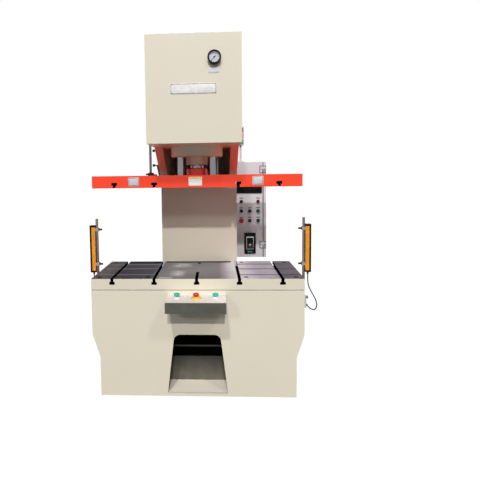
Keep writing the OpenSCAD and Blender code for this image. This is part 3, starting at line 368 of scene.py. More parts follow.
@dataclass(frozen=True)
class Plastic:
    """Moulded plastic with a fine spark texture."""

    name: str
    colour: Colour
    rough: float = 0.42
    spark: float = 0.00004
    spark_cells: float = 1600.0
    spread: Pair = (-0.06, 0.08)
    shine: float = 0.0
    mirror: float = 0.3

    def make(self) -> Material:
        """Builds the finish.

        Returns:
            The material.
        """
        g = Graph(self.name)
        base = linear(self.colour)
        worn = scaled(base, 1.25, 0.006)
        g.set(Base_Color=g.mix(g.ramp(g.noise(35, 4), 0.45, 0.8), base, worn),
              Roughness=g.clouds(60, 3, *(self.rough + step for step in self.spread)),
              Normal=g.bump(g.noise(self.spark_cells, 2), self.spark),
              Coat_Weight=self.shine, Coat_Roughness=0.12, Specular_IOR_Level=self.mirror)
        return g.material


@dataclass(frozen=True)
class Clear:
    """Clear glass, which lets the light through to what is behind it, or a coloured lens."""

    name: str
    colour: Colour
    rough: float
    ior: float
    through: float
    solid: float = 1.0

    def make(self) -> Material:
        """Builds the finish.

        Returns:
            The material.
        """
        g = Graph(self.name)
        smear = g.ramp(g.noise(40, 4), 0.4, 0.8, self.rough, self.rough + 0.06)
        g.set(Base_Color=linear(self.colour), Roughness=smear, IOR=self.ior,
              Transmission_Weight=self.through, Alpha=self.solid)
        return g.material


@dataclass(frozen=True)
class Bands:
    """A finish whose colour changes between stretches along an axis.

    Each band is where it starts, where it ends and its colour. The colour of the rest lies
    outside every band, and the mirror says how strongly the surface shows what is around it.
    """

    name: str
    axis: str
    rest: Colour
    bands: Sequence[tuple[float, float, Colour]]
    rough: float = 0.4
    through: float = 0.0
    mirror: float = 0.5
    spread: Pair = (-0.05, 0.08)
    shade: float = 0.22
    peel: float = 0.00002
    peel_cells: float = 900.0

    def make(self) -> Material:
        """Builds the finish.

        Returns:
            The material.
        """
        g = Graph(self.name)
        colour: object = linear(self.rest)
        for low, high, tone in self.bands:
            colour = g.mix(g.within(self.axis, low, high), colour, linear(tone))
        g.set(Base_Color=g.mix(g.clouds(30, 4, 0.0, self.shade), colour, BLACK),
              Roughness=g.clouds(50, 3, *(self.rough + step for step in self.spread)),
              Transmission_Weight=self.through, Specular_IOR_Level=self.mirror,
              Normal=g.bump(g.noise(self.peel_cells, 2), self.peel))
        return g.material


class TableSteel:
    """The table's finish: ground steel on top, paint outside and near black in the slots.

    The tones run from left to right across the top, each at its X: the grinding passes with painted
    reflection on them, dark on the left and bright on the right. A glint is a painted highlight: its two
    ends in X and in Y, the width of its soft edge and its strength. A dark back band is its two ends in
    X, where it starts and is full in Y, and its colour. The lines between passes are painted lighter on
    the left and darker on the right, as painted light and shade. The ground top is smoother than the
    rest, and its scratches are rougher.
    """

    skin = 0.0005
    top_depth = 0.0047
    metal = 0.4
    rough = 0.42
    ground = 0.12
    scratched = 0.12
    grooves = 0.00004
    # Near black in the slots and on the faces below the top.
    inner_dark: Colour = (10, 10, 10)
    grime: Channels = (0.02, 0.02, 0.022, 1.0)
    tint: Channels = (0.35, 0.35, 0.36, 1.0)
    middle_half = 0.3
    pass_lines: tuple[float, ...] = (-0.19, 0.017, 0.187)
    line_halves: Pair = (0.006, 0.014)
    # Painted light and shade: the lines catch light on the left and lie dark on the right.
    lit_and_shaded_line_tones: tuple[Colour, Colour] = ((168, 160, 168), (92, 86, 94))
    # Painted highlights.
    glints: tuple[tuple[float, ...], ...] = (
        (-0.255, -0.185, -0.33, -0.275, 0.02, 0.7), (-0.155, -0.115, 0.12, 0.17, 0.07, 0.9),
        (-0.15, -0.14, -0.2, -0.09, 0.06, 0.8), (0.255, 0.285, -0.33, 0.33, 0.05, 0.5))
    # Two darker bands towards the back of the top.
    joints: tuple[tuple[Pair, Pair, Colour], ...] = (
        ((-0.578, -0.31), (0.235, 0.25), (44, 40, 50)), ((-0.278, 0.262), (0.262, 0.272), (58, 52, 48)))
    # Painted reflection on the grinding passes: dark on the left, nearly white right of the middle.
    tones: tuple[tuple[float, Colour], ...] = (
        (-0.75, (128, 116, 120)), (-0.62, (100, 95, 94)), (-0.57, (78, 75, 80)),
        (-0.33, (94, 90, 97)), (-0.29, (146, 144, 144)), (-0.19, (166, 166, 166)),
        (-0.05, (160, 158, 158)), (0.16, (156, 153, 154)),
        (0.24, (226, 216, 222)), (0.30, (255, 252, 255)), (0.35, (255, 244, 255)),
        (0.45, (214, 204, 216)), (0.575, (196, 187, 199)), (0.6, (120, 113, 120)),
        (0.75, (128, 121, 128)))

    def __init__(self, paint: Colour) -> None:
        """Keeps the paint that the four sides have.

        Args:
            paint: The frame's colour.
        """
        self.paint = linear(paint)
        self.right, self.back, self.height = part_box("bolster_table")[1]

    def passes(self, g: Graph) -> Socket:
        """Lays out the wide grinding passes from side to side, with painted reflection: dark on the left
        and bright on the right.

        Args:
            g: The graph that the nodes are added to.

        Returns:
            The passes' tones.
        """
        half = self.tones[-1][0]
        scale = g.add("ShaderNodeValToRGB", None, {"Fac": g.ramp(g.coordinate("X"), -half, half)})
        stops = scale.color_ramp.elements
        for place, tone in self.tones[1:-1]:
            stops.new((place + half) / (2 * half)).color = linear(tone)
        stops[0].color, stops[-1].color = linear(self.tones[0][1]), linear(self.tones[-1][1])
        return scale.outputs["Color"]

    def shining(self, g: Graph, colour: Socket) -> Socket:
        """Paints soft highlights, the glints, on the steel.

        Args:
            g: The graph that the nodes are added to.
            colour: The steel so far.

        Returns:
            The steel with its glints.
        """
        for x0, x1, y0, y1, edge, share in self.glints:
            spot = g.math("MULTIPLY", g.soft("X", x0, x1, edge), g.soft("Y", y0, y1, edge))
            spot = g.math("MULTIPLY", spot, g.ramp(g.noise(17, 3), 0.35, 0.6, 0.35, 1.0))
            colour = g.mix(g.math("MULTIPLY", spot, share), colour, WHITE)
        return colour

    def streaked(self, g: Graph, colour: Socket) -> Socket:
        """Lays dull streaks along the table.

        Args:
            g: The graph that the nodes are added to.
            colour: The steel so far.

        Returns:
            The steel with its streaks.
        """
        dull = g.mix(0.45, colour, self.grime)
        streaks = g.ramp(g.noise(26, 5, (0.25, 10, 1)), 0.38, 0.62, 0.0, 0.75)
        return g.mix(streaks, colour, dull)

    def lined(self, g: Graph, colour: Socket) -> Socket:
        """Lays a line between two passes on the table's outer parts, painted lighter on the left and
        darker on the right as painted light and shade.

        Args:
            g: The graph that the nodes are added to.
            colour: The steel so far.

        Returns:
            The steel with its lines.
        """
        outer = g.math("GREATER_THAN", g.away("X"), self.middle_half)
        right = g.math("GREATER_THAN", g.coordinate("X"), 0.0)
        tone = g.mix(right, *(linear(line) for line in self.lit_and_shaded_line_tones))
        for line in self.pass_lines:
            amount = g.math("MULTIPLY", g.ramp(g.away("Y", line), *self.line_halves, 0.75, 0.0), outer)
            colour = g.mix(amount, colour, tone)
        return colour

    def darkened_at_back(self, g: Graph, colour: Socket) -> Socket:
        """Darkens the top towards the back, in two bands.

        Args:
            g: The graph that the nodes are added to.
            colour: The steel so far.

        Returns:
            The steel with its joints.
        """
        for across, start, tone in self.joints:
            amount = g.math("MULTIPLY", g.within("X", *across), g.ramp(g.coordinate("Y"), *start))
            colour = g.mix(amount, colour, linear(tone))
        return colour

    def outside(self, g: Graph, top: Socket) -> Socket:
        """Marks the table's four sides.

        Args:
            g: The graph that the nodes are added to.
            top: 1 on the upper face and 0 elsewhere.

        Returns:
            1 on the sides and 0 elsewhere.
        """
        wide = g.math("GREATER_THAN", g.away("X"), self.right - self.skin)
        deep = g.math("GREATER_THAN", g.away("Y"), self.back - self.skin)
        return g.math("MULTIPLY", g.math("MAXIMUM", wide, deep), g.math("SUBTRACT", 1.0, top))

    def make(self) -> Material:
        """Builds the finish.

        Returns:
            The material.
        """
        g = Graph("table_ground_steel")
        lines = g.noise(30, 5, (0.7, 22, 1))
        scratches = g.ramp(g.noise(70, 8, (1, 14, 1), 0.7), 0.55, 0.72)
        top = g.math("MULTIPLY", g.math("GREATER_THAN", g.upward(), 0.5),
                     g.math("GREATER_THAN", g.coordinate("Z"), self.height - self.top_depth))
        outside = self.outside(g, top)
        steel = self.darkened_at_back(g, self.lined(g, self.streaked(g, self.shining(g, self.passes(g)))))
        coat = g.mix(g.clouds(3.1, 5), self.paint, scaled(self.paint, 0.97))
        g.set(Base_Color=g.mix(outside, g.mix(top, linear(self.inner_dark), steel), coat),
              Metallic=g.math("MULTIPLY", top, self.metal), Specular_Tint=self.tint,
              Roughness=g.math("ADD", g.math("MULTIPLY", top, -self.ground),
                               g.math("MULTIPLY_ADD", scratches, self.scratched, self.rough)),
              Specular_IOR_Level=g.math("MULTIPLY", outside, 0.5),
              Normal=g.bump(lines, self.grooves))
        return g.material


class FoldedSheet:
    """The console's brushed sheet, grained on top: painted light makes the top bright, painted shade
    makes the sides and the faces below dark.
    """

    # Painted light and shade: the same sheet is lighter on top and darker on every other face.
    bright: Colour = (252, 244, 240)
    dull: Colour = (86, 88, 80)
    grain_step = 28
    cloud_step = 14
    metal = 0.08
    rough = 0.4
    grain_rough = 0.14
    grooves = 0.00003

    def make(self) -> Material:
        """Builds the finish.

        Returns:
            The material.
        """
        g = Graph("console_brushed_sheet")
        top = g.ramp(g.upward(), 0.2, 0.6)
        grain = g.noise(210, 4, (1, 0.45, 1), 0.7)
        bright = g.mix(g.ramp(grain, 0.4, 0.6), linear(self.bright),
                       linear(darker(self.bright, self.grain_step)))
        cloud = g.clouds(9, 5, stretch=(1, 1, 2))
        dull = g.mix(cloud, linear(self.dull), linear(darker(self.dull, self.cloud_step)))
        # Painted light on the top, painted shade on the other faces.
        g.set(Base_Color=g.mix(top, dull, bright), Metallic=g.math("MULTIPLY", top, self.metal),
              Roughness=g.math("MULTIPLY_ADD", grain, self.grain_rough, self.rough),
              Specular_IOR_Level=0.3, Normal=g.bump(grain, self.grooves))
        return g.material


class Palette:
    """Every finish of the press, each made once."""

    beige: Colour = (227, 219, 199)
    orange_red: Colour = (255, 66, 30)
    # Painted shade: inside the base, seen through the knee recess, the paint is near black without
    # reflection.
    base_inside_shade = Hollow((-0.2565, -0.3045, 0.0), (0.2565, 0.3255, 0.7485), (30, 30, 27))
    # Painted light: the knee recess's floor is the frame's beige, painted lighter than the frame.
    knee_floor_lit = Hollow((-0.3, -0.31, -0.01), (0.3, 0.33, 0.0225), (242, 233, 215))
    slot_lines: tuple[float, ...] = (-0.588, -0.3, 0.3, 0.588)
    slot_half = 0.0215
    slot_depth = 0.0398
    slot_end = 0.0003
    # Dark reddish inside the ram's slots, without reflection.
    slot_dark: Colour = (16, 7, 6)
    curtain_stub: Pair = (0.82, 0.8504)
    along_z: Point = (1, 1, 0.05)

    def __init__(self) -> None:
        """Makes the finishes."""
        self.paints()
        self.metals()
        self.plastics()
        self.buttons()

    def paints(self) -> None:
        """Makes the enamels and the powder coats."""
        self.frame = Enamel("frame_enamel", self.beige, gloss=0.42, mottle=0.008,
                            dust_and_light_height=0.5, hollows=(self.base_inside_shade,)).make()
        # Painted light: tinted greener than the frame's beige to cancel the red light bounced from the
        # ram.
        self.cylinder = Enamel("cylinder_enamel", (228, 238, 216), gloss=0.42, mottle=0.008).make()
        # Painted shade: the knee recess is near black at the top, and lighter towards its floor as
        # painted light.
        self.recess = Enamel("recess_enamel", (18, 19, 17), gloss=0.5, mottle=0.05, dust_and_light_height=0.24,
                             dust_and_light=(168, 162, 144), dust_and_light_amount=0.45, hollows=(self.knee_floor_lit,)).make()
        (_, front, bottom), (_, back, _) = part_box("ram_plate")
        slots = tuple(Hollow((x - self.slot_half, front + self.slot_end, bottom - self.slot_end),
                             (x + self.slot_half, back - self.slot_end, bottom + self.slot_depth),
                             self.slot_dark) for x in self.slot_lines)
        self.ram = Enamel("ram_enamel", self.orange_red, gloss=0.32, mottle=0.02, hollows=slots).make()
        # Painted light: a lighter red than the collar's own, making up for the head's shade on it.
        self.collar = Enamel("collar_enamel", (255, 62, 48), gloss=0.25, mottle=0.02).make()
        self.cabinet = Enamel("cabinet_powder", (217, 212, 217), gloss=0.36, mottle=0.02,
                              peel=0.00008).make()
        # A lighter copy of the cabinet powder: painted highlight on the folded edges by the door's gap,
        # and used for the hinge covers.
        self.cabinet_lit_edge = Enamel("cabinet_edge_powder", (222, 216, 222), gloss=0.36,
                                   mottle=0.02).make()
        self.hinge = Enamel("hinge_powder", (158, 154, 158), gloss=0.4, mottle=0.02).make()
        self.shade = Enamel("seam_shade", (84, 79, 86), gloss=0.6, mottle=0.05).make()
        self.curtain = Bands("curtain_powder", "Z", (246, 158, 34),
                             [(*self.curtain_stub, (26, 25, 27))], 0.35, mirror=0.3).make()
        self.tank = Enamel("tank_enamel", (146, 158, 168), gloss=0.4, mottle=0.05).make()
        self.motor = Enamel("motor_enamel", (76, 96, 116), gloss=0.4).make()

    def metals(self) -> None:
        """Makes the bare and the plated metals."""
        self.table = TableSteel(self.beige).make()
        self.sheet = FoldedSheet().make()
        self.chrome = BareMetal("hard_chrome", (138, 134, 141), 0.12, streak=self.along_z, grain=200,
                                depth=0.00001, tarnish=0.12).make()
        self.rod = BareMetal("oiled_chrome", (128, 124, 122), 0.16, streak=self.along_z, grain=200,
                             depth=0.00001, tarnish=0.2).make()
        self.zinc = BareMetal("cast_zinc", (190, 190, 192), 0.36, grain=240, depth=0.00004).make()
        self.drawn = BareMetal("drawn_steel", (138, 128, 120), 0.42, streak=(1, 1, 0.04), grain=220,
                               depth=0.00004, tarnish=0.35).make()
        self.pipe = BareMetal("zinc_plated", (176, 178, 176), streak=(1, 1, 0.1)).make()
        self.bronze = BareMetal("turned_bronze", (190, 142, 78), streak=(1, 1, 8), grain=200).make()
        self.screw = BareMetal("blackened_screw", (30, 29, 29), 0.45, grain=200, tarnish=0.3,
                               metal=0.6).make()
        self.bolt = BareMetal("plated_bolt", (205, 205, 205), 0.26, grain=220).make()
        self.plate = BareMetal("engraved_plate", (204, 202, 208), 0.45, streak=(0.05, 1, 1), grain=300,
                               depth=0.00002, tarnish=0.08, metal=0.1).make()

    def plastics(self) -> None:
        """Makes the plastics, the inks and the glass."""
        self.key = Plastic("grey_key", (74, 71, 72), 0.45).make()
        self.label = Plastic("grey_label", (140, 136, 142), 0.45).make()
        self.black = Plastic("black_plastic", (8, 8, 9), mirror=0.08).make()
        self.gloss_black = Plastic("gloss_black", (7, 7, 8), 0.2, 0.00001, mirror=0.1).make()
        self.white = Plastic("white_plastic", (228, 226, 224), 0.4).make()
        # Painted light: a lighter copy of the white plastic for the ram's middle sign, which lies in the
        # head's shade.
        self.bright = Plastic("bright_white_plastic", (252, 249, 248), 0.4).make()
        self.dial = Plastic("dial_enamel", (208, 212, 226), 0.45, 0.00001).make()
        self.yellow = Plastic("yellow_plastic", (255, 216, 84), 0.35).make()
        self.blue = Plastic("blue_plastic", (72, 138, 176), 0.3).make()
        self.ink = Plastic("dark_ink", (30, 30, 34), 0.5).make()
        self.rubber = Plastic("cable_rubber", (12, 12, 13), 0.55, 0.00003, mirror=0.12).make()
        self.glass = Clear("gauge_glass", (255, 255, 255), 0.02, 1.46, 0.0, 0.07).make()
        self.lens = Clear("dark_lens", (60, 8, 8), 0.08, 1.5, 0.5).make()

    def buttons(self) -> None:
        """Makes the smooth plastics of the buttons."""
        smooth = 0.00001
        self.red = Plastic("red_plastic", (206, 30, 34), 0.28, smooth, shine=0.3).make()
        self.crimson = Plastic("crimson_plastic", (180, 14, 36), 0.3, smooth, shine=0.1,
                               mirror=0.2).make()
        self.deep_red = Plastic("deep_red_plastic", (104, 10, 30), 0.3, smooth, mirror=0.2).make()
        self.green = Plastic("green_plastic", (8, 186, 160), 0.3, smooth, shine=0.3).make()
        self.deep_green = Plastic("deep_green_plastic", (8, 68, 60), 0.3, smooth, mirror=0.2).make()
        self.teal = Plastic("teal_plastic", (8, 48, 62), 0.3, smooth, mirror=0.2).make()


def show(name: str, data: bpy.types.ID) -> bpy.types.Object:
    """Puts an object into the scene.

    Args:
        name: The object's name.
        data: Its mesh, curve, lamp or camera.

    Returns:
        The object.
    """
    made = bpy.data.objects.new(name, data)
    bpy.context.scene.collection.objects.link(made)
    return made


def baked(source: bpy.types.Object) -> bpy.types.Mesh:
    """Takes an object's mesh as its modifiers leave it, and removes the object.

    Args:
        source: The object.

    Returns:
        The plain mesh.
    """
    graph = bpy.context.evaluated_depsgraph_get()
    data = bpy.data.meshes.new_from_object(source.evaluated_get(graph))
    bpy.data.objects.remove(source)
    return data


def dress(data: bpy.types.Mesh, name: str, material: Material, body: str) -> None:
    """Puts a mesh into the scene as a finished piece.

    Args:
        data: The mesh, in place.
        name: The piece's name.
        material: The finish.
        body: The body's name.
    """
    data.materials.clear()
    data.materials.append(material)
    piece = show(name, data)
    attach(piece, body)
    LOG.info("%s: %d faces on %s", name, len(data.polygons), body)


def rounded(width: float, height: float, radius: float, steps: int = 6) -> list[Pair]:
    """Draws a rectangle with round corners, about its middle.

    Args:
        width: Its width.
        height: Its height.
        radius: The corners' radius.
        steps: How many facets each corner has.

    Returns:
        The points, anticlockwise.
    """
    points = []
    for k, (sx, sy) in enumerate(((1, 1), (-1, 1), (-1, -1), (1, -1))):
        for i in range(steps + 1):
            angle = math.pi / 2 * (k + i / steps)
            points.append((sx * (width / 2 - radius) + radius * math.cos(angle),
                           sy * (height / 2 - radius) + radius * math.sin(angle)))
    return points


def ring(radius: float, steps: int, start: float = 0.0) -> list[Pair]:
    """Returns points round a circle."""
    return [(radius * math.cos(start + math.tau * k / steps),
             radius * math.sin(start + math.tau * k / steps)) for k in range(steps)]


@dataclass
class Shape:
    """One piece's mesh, put together from simple parts in place."""

    name: str
    mesh: bmesh.types.BMesh = field(default_factory=bmesh.new)

    def take(self, geometry: Iterable, place: Matrix) -> None:
        """Moves new vertices by a matrix."""
        points = [v for v in geometry if isinstance(v, bmesh.types.BMVert)]
        bmesh.ops.transform(self.mesh, matrix=place, verts=points)

    def block(self, first: Point, second: Point, bevel: float = 0.0, steps: int = 2) -> "Shape":
        """Adds a block between two opposite corners, with rounded edges.

        Args:
            first: One corner.
            second: The corner farthest from it.
            bevel: The edges' radius.
            steps: How many facets each rounded edge has.

        Returns:
            This shape.
        """
        size = [abs(b - a) for a, b in zip(first, second)]
        centre = [(a + b) / 2 for a, b in zip(first, second)]
        place = Matrix.Translation(centre) @ Matrix.Diagonal((*size, 1.0))
        made = bmesh.ops.create_cube(self.mesh, size=1.0, matrix=place)["verts"]
        if bevel > 0:
            edges = {e for v in made for e in v.link_edges}
            bmesh.ops.bevel(self.mesh, geom=list(edges), offset=bevel, segments=steps,
                            affect="EDGES", profile=0.5)
        return self

    def skin(self, levels: Sequence[Sequence[Point]], place: Matrix, hollow: bool) -> None:
        """Spans faces between levels of points, each with as many points as the next, or with one.

        Args:
            levels: The points of each level, from one end to the other.
            place: Where the levels' own frame lies.
            hollow: Whether the last level meets the first, and otherwise both ends are closed.
        """
        rings = [[self.mesh.verts.new(place @ Vector(p)) for p in level] for level in levels]
        for low, high in zip(rings, rings[1:] + (rings[:1] if hollow else [])):
            steps = max(len(low), len(high))
            for k in range(steps):
                a, b = low[k % len(low)], low[(k + 1) % len(low)]
                c, d = high[(k + 1) % len(high)], high[k % len(high)]
                corners = list(dict.fromkeys((a, b, c, d)))
                if len(corners) > 2:
                    self.mesh.faces.new(corners)
        for end in (rings[0][::-1], rings[-1]):
            if len(end) > 1 and not hollow:
                self.mesh.faces.new(end)

    def lathe(self, profile: Sequence[Pair], centre: Point, axis: Axis, steps: int,
              hollow: bool = False) -> "Shape":
        """Adds a turned form.

        Args:
            profile: Radius and height of each point, from one end to the other.
            centre: Where height 0 lies on the axis.
            axis: The direction that height grows in.
            steps: How many facets go round.
            hollow: Whether the profile closes on itself, as a ring's does.

        Returns:
            This shape.
        """
        levels = [[(x, y, height) for x, y in (ring(radius, steps) if radius > TINY else [(0, 0)])]
                  for radius, height in profile]
        self.skin(levels, Matrix.Translation(centre) @ axis.turn(), hollow)
        return self

    def prism(self, outline: Sequence[Pair], thickness: float, centre: Point, axis: Axis,
              bevel: float = 0.0) -> "Shape":
        """Adds a plate of any outline.

        Args:
            outline: The corners in the plate's own plane, anticlockwise.
            thickness: How far it rises along the axis.
            centre: Where the outline's origin lies.
            axis: The direction that the plate's face looks.
            bevel: The radius of the edge round the raised face.

        Returns:
            This shape.
        """
        low = [self.mesh.verts.new((x, y, 0)) for x, y in outline]
        face = self.mesh.faces.new(low[::-1])
        made = bmesh.ops.extrude_face_region(self.mesh, geom=[face])["geom"]
        top = [v for v in made if isinstance(v, bmesh.types.BMVert)]
        bmesh.ops.translate(self.mesh, vec=(0, 0, thickness), verts=top)
        if bevel > 0:
            rim = [e for e in made if isinstance(e, bmesh.types.BMEdge)]
            more = bmesh.ops.bevel(self.mesh, geom=rim, offset=bevel, segments=2,
                                   affect="EDGES", profile=0.5)
            top = list({v for v in top if v.is_valid} | set(more["verts"]))
        self.take([*low, *top], Matrix.Translation(centre) @ axis.turn())
        return self

    def data(self) -> bpy.types.Mesh:
        """Turns the working mesh into one that Blender keeps.

        Returns:
            The mesh.
        """
        data = bpy.data.meshes.new(self.name)
        self.mesh.to_mesh(data)
        self.mesh.free()
        return data

    def finish(self, material: Material, body: str, slot: str, smooth: float = 35.0) -> None:
        """Makes the object, dresses it and lets it ride on its body.

        Args:
            material: The finish.
            body: The body's name.
            slot: The record's material slot; not used.
            smooth: The widest angle, in degrees, that is shaded smooth.
        """
        bmesh.ops.remove_doubles(self.mesh, verts=self.mesh.verts, dist=TINY)
        bmesh.ops.recalc_face_normals(self.mesh, faces=self.mesh.faces)
        limit = math.radians(smooth)
        for face in self.mesh.faces:
            face.smooth = True
        for edge in self.mesh.edges:
            edge.smooth = len(edge.link_faces) != 2 or edge.calc_face_angle(0.0) < limit
        dress(self.data(), self.name, material, body)


def tile(name: str, size: Pair, radius: float, thickness: float, at: Point,
         bevel: float = 0.0) -> Shape:
    """Returns a plate with round corners, whose face looks to the front.

    Args:
        name: The piece's name.
        size: Its width and height.
        radius: The radius of its corners.
        thickness: How far its face stands forward.
        at: The middle of its back.
        bevel: The radius of the edge round its face.

    Returns:
        The plate's shape, unfinished.
    """
    return Shape(name).prism(rounded(*size, radius), thickness, at, Axis.FRONT, bevel)


class Head(Enum):
    """The kinds of small fastener."""

    HEX = "hex"
    RIVET = "rivet"
    PAN = "pan"


class Fasteners:
    """Small fasteners, set out by a node tree that puts one template at each place."""

    slot = "ground_steel"
    sunk = -0.02

    def __init__(self) -> None:
        """Builds the tree and the templates."""
        self.tree = self.build_tree()
        self.templates = {head: self.template(head) for head in Head}

    def template(self, head: Head) -> bpy.types.Object:
        """Makes a fastener of head diameter 1, its face towards +Z and its seat at 0.

        Args:
            head: The kind of fastener.

        Returns:
            The template, outside the scene.
        """
        dome = [(0.5 * math.cos(a), 0.28 * math.sin(a)) for a in
                (0.0, 0.35, 0.7, 1.05, 1.35, math.pi / 2)]
        turnings = {
            Head.RIVET: [([(0.5, self.sunk), *dome], 16)],
            Head.HEX: [([(0.62, self.sunk), (0.62, 0.06), (0.5, 0.07)], 24),
                       ([(0.5, 0.05), (0.5, 0.36), (0.44, 0.4), (0.0, 0.4)], 6)],
            Head.PAN: [([(0.5, self.sunk), (0.5, 0.16), (0.36, 0.3), (0.27, 0.3), (0.24, 0.08),
                         (0.0, 0.08)], 18)]}
        shape = Shape("template_" + head.value)
        for profile, steps in turnings[head]:
            shape.lathe(profile, (0, 0, 0), Axis.UP, steps)
        bmesh.ops.recalc_face_normals(shape.mesh, faces=shape.mesh.faces)
        return bpy.data.objects.new(shape.name, shape.data())

    def build_tree(self) -> bpy.types.NodeTree:
        """Builds the tree: a template on every point, realized and dressed.

        Returns:
            The node tree.
        """
        tree = bpy.data.node_groups.new("fasteners_on_points", "GeometryNodeTree")
        for name, kind in (("Geometry", "Geometry"), ("Template", "Object"), ("Turn", "Rotation"),
                           ("Head diameter", "Float"), ("Finish", "Material")):
            tree.interface.new_socket(name, in_out="INPUT", socket_type="NodeSocket" + kind)
        tree.interface.new_socket("Geometry", in_out="OUTPUT", socket_type="NodeSocketGeometry")
        kinds = ("NodeGroupInput", "GeometryNodeObjectInfo", "GeometryNodeInstanceOnPoints",
                 "GeometryNodeRealizeInstances", "GeometryNodeSetMaterial", "NodeGroupOutput")
        source, info, place, real, paint, out = [tree.nodes.new(kind) for kind in kinds]
        for start, outlet, end, inlet in (
                (source, "Geometry", place, "Points"), (source, "Template", info, "Object"),
                (info, "Geometry", place, "Instance"), (source, "Turn", place, "Rotation"),
                (source, "Head diameter", place, "Scale"), (place, "Instances", real, "Geometry"),
                (real, "Geometry", paint, "Geometry"), (source, "Finish", paint, "Material"),
                (paint, "Geometry", out, "Geometry")):
            tree.links.new(start.outputs[outlet], end.inputs[inlet])
        return tree

    def place(self, name: str, head: Head, points: Sequence[Point], axis: Axis, diameter: float,
              material: Material, body: str) -> None:
        """Sets out one kind of fastener at given places.

        Args:
            name: The piece's name.
            head: The kind of fastener.
            points: Where each one's seat lies.
            axis: The direction that the heads face.
            diameter: The head's diameter.
            material: The finish.
            body: The body's name.
        """
        seats = bpy.data.meshes.new(name + "_seats")
        seats.from_pydata(list(points), [], [])
        carrier = show(name + "_seats", seats)
        modifier = carrier.modifiers.new("Fasteners", "NODES")
        modifier.node_group = self.tree
        values = {"Template": self.templates[head], "Turn": Euler(axis.value),
                  "Head diameter": diameter, "Finish": material}
        for item in self.tree.interface.items_tree:
            if item.in_out == "INPUT" and item.name in values:
                modifier[item.identifier] = values[item.name]
        data = baked(carrier)
        for polygon in data.polygons:
            polygon.use_smooth = head is Head.RIVET
        dress(data, name, material, body)


@dataclass
class Workshop:
    """What every sub-assembly is dressed with."""

    palette: Palette
    fasteners: Fasteners

    def paint(self, material: Material, *nodes: str) -> None:
        """Gives CAD nodes a finish.

        Args:
            material: The finish.
            *nodes: The nodes' names.
        """
        for name in nodes:
            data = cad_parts[name].data
            data.materials.clear()
            data.materials.append(material)
            LOG.info("%s wears %s", name, material.name)


@dataclass(frozen=True)
class Lamp:
    """A far lamp whose light falls alike on the whole press.

    The bearing runs in degrees from straight ahead of the press towards its right, the height
    in degrees above the floor. The strength is the light that falls on a face square to it,
    and the spread is the lamp's width as it is seen from the press, in degrees.
    """

    name: str
    bearing: float
    height: float
    strength: float
    spread: float

    def hang(self) -> None:
        """Adds the lamp to the scene."""
        data = bpy.data.lights.new(self.name, "SUN")
        data.energy, data.angle = self.strength, math.radians(self.spread)
        turn = (math.radians(90 - self.height), 0.0, math.radians(self.bearing))
        show(self.name, data).rotation_euler = turn


@dataclass
class Studio:
    """The camera, the lamps, the floor and the white surroundings."""

    eye: Point = (0.1335, -3.3847, 1.5614)
    yaw: float = 0.0519
    pitch: float = 0.0695
    roll: float = 0.01295
    lens: float = 33.23
    shift: Pair = (0.1, -0.0667)
    sensor: float = 36.0
    far: float = 100.0
    floor_size: float = 400.0
    floor_glow: float = 0.91
    floor_grey: Channels = (0.13, 0.13, 0.13, 1.0)
    world_light: float = 0.115
    lamps: tuple[Lamp, ...] = (Lamp("hall_lamp_ahead", 2, 32.5, 1.43, 2),
                               Lamp("hall_lamp_right", 34, 45, 0.46, 5),
                               Lamp("hall_lamp_left", -25, 23, 0.34, 5),
                               Lamp("hall_lamp_near", -8, 49, 1.12, 3),
                               Lamp("hall_lamp_behind", 128, 42, 1.1, 12))

    def camera(self) -> None:
        """Makes the camera at the photograph's viewpoint."""
        data = bpy.data.cameras.new("camera")
        data.lens, data.sensor_width = self.lens, self.sensor
        data.shift_x, data.shift_y = self.shift
        data.clip_end = self.far
        ahead = Vector((-math.sin(self.yaw) * math.cos(self.pitch),
                        math.cos(self.yaw) * math.cos(self.pitch), -math.sin(self.pitch)))
        right = Vector((math.cos(self.yaw), math.sin(self.yaw), 0.0))
        up = right.cross(ahead)
        turn = Matrix.Rotation(self.roll, 3, ahead)
        right, up = turn @ right, turn @ up
        camera = show("camera", data)
        camera.matrix_world = Matrix.Translation(self.eye) @ Matrix(
            (right, up, -ahead)).transposed().to_4x4()
        bpy.context.scene.camera = camera

    def white_rays(self, tree: bpy.types.NodeTree) -> Socket:
        """Marks the camera, mirror and see-through rays.

        Args:
            tree: The node tree of the world or the floor.

        Returns:
            1 for those rays and 0 for the rest.
        """
        path = tree.nodes.new("ShaderNodeLightPath")
        total = path.outputs["Is Camera Ray"]
        for name in ("Is Glossy Ray", "Is Transmission Ray"):
            node = tree.nodes.new("ShaderNodeMath")
            node.operation = "MAXIMUM"
            tree.links.new(total, node.inputs[0])
            tree.links.new(path.outputs[name], node.inputs[1])
            total = node.outputs[0]
        return total

    def world(self) -> None:
        """Makes the surroundings: white to look at, dimmer as a light."""
        world = bpy.data.worlds.new("studio")
        world.use_nodes = True
        bpy.context.scene.world = world
        tree = world.node_tree
        back = tree.nodes["Background"]
        back.inputs["Color"].default_value = WHITE
        amount = tree.nodes.new("ShaderNodeMapRange")
        amount.inputs["To Min"].default_value = self.world_light
        tree.links.new(self.white_rays(tree), amount.inputs["Value"])
        tree.links.new(amount.outputs[0], back.inputs["Strength"])

    def floor(self) -> None:
        """Makes the pale floor, which keeps the press's shadow."""
        half = self.floor_size / 2
        data = bpy.data.meshes.new("floor")
        data.from_pydata([(-half, -half, 0), (half, -half, 0), (half, half, 0), (-half, half, 0)],
                         [], [(0, 1, 2, 3)])
        g = Graph("floor_white")
        glow = g.math("MULTIPLY", self.white_rays(g.tree), self.floor_glow)
        g.set(Base_Color=self.floor_grey, Roughness=0.9, Specular_IOR_Level=0.0,
              Emission_Color=WHITE, Emission_Strength=glow)
        data.materials.append(g.material)
        show("floor", data)

    def build(self) -> None:
        """Sets up the studio."""
        bpy.context.scene.view_settings.view_transform = "Standard"
        self.camera()
        self.world()
        self.floor()
        for lamp in self.lamps:
            lamp.hang()


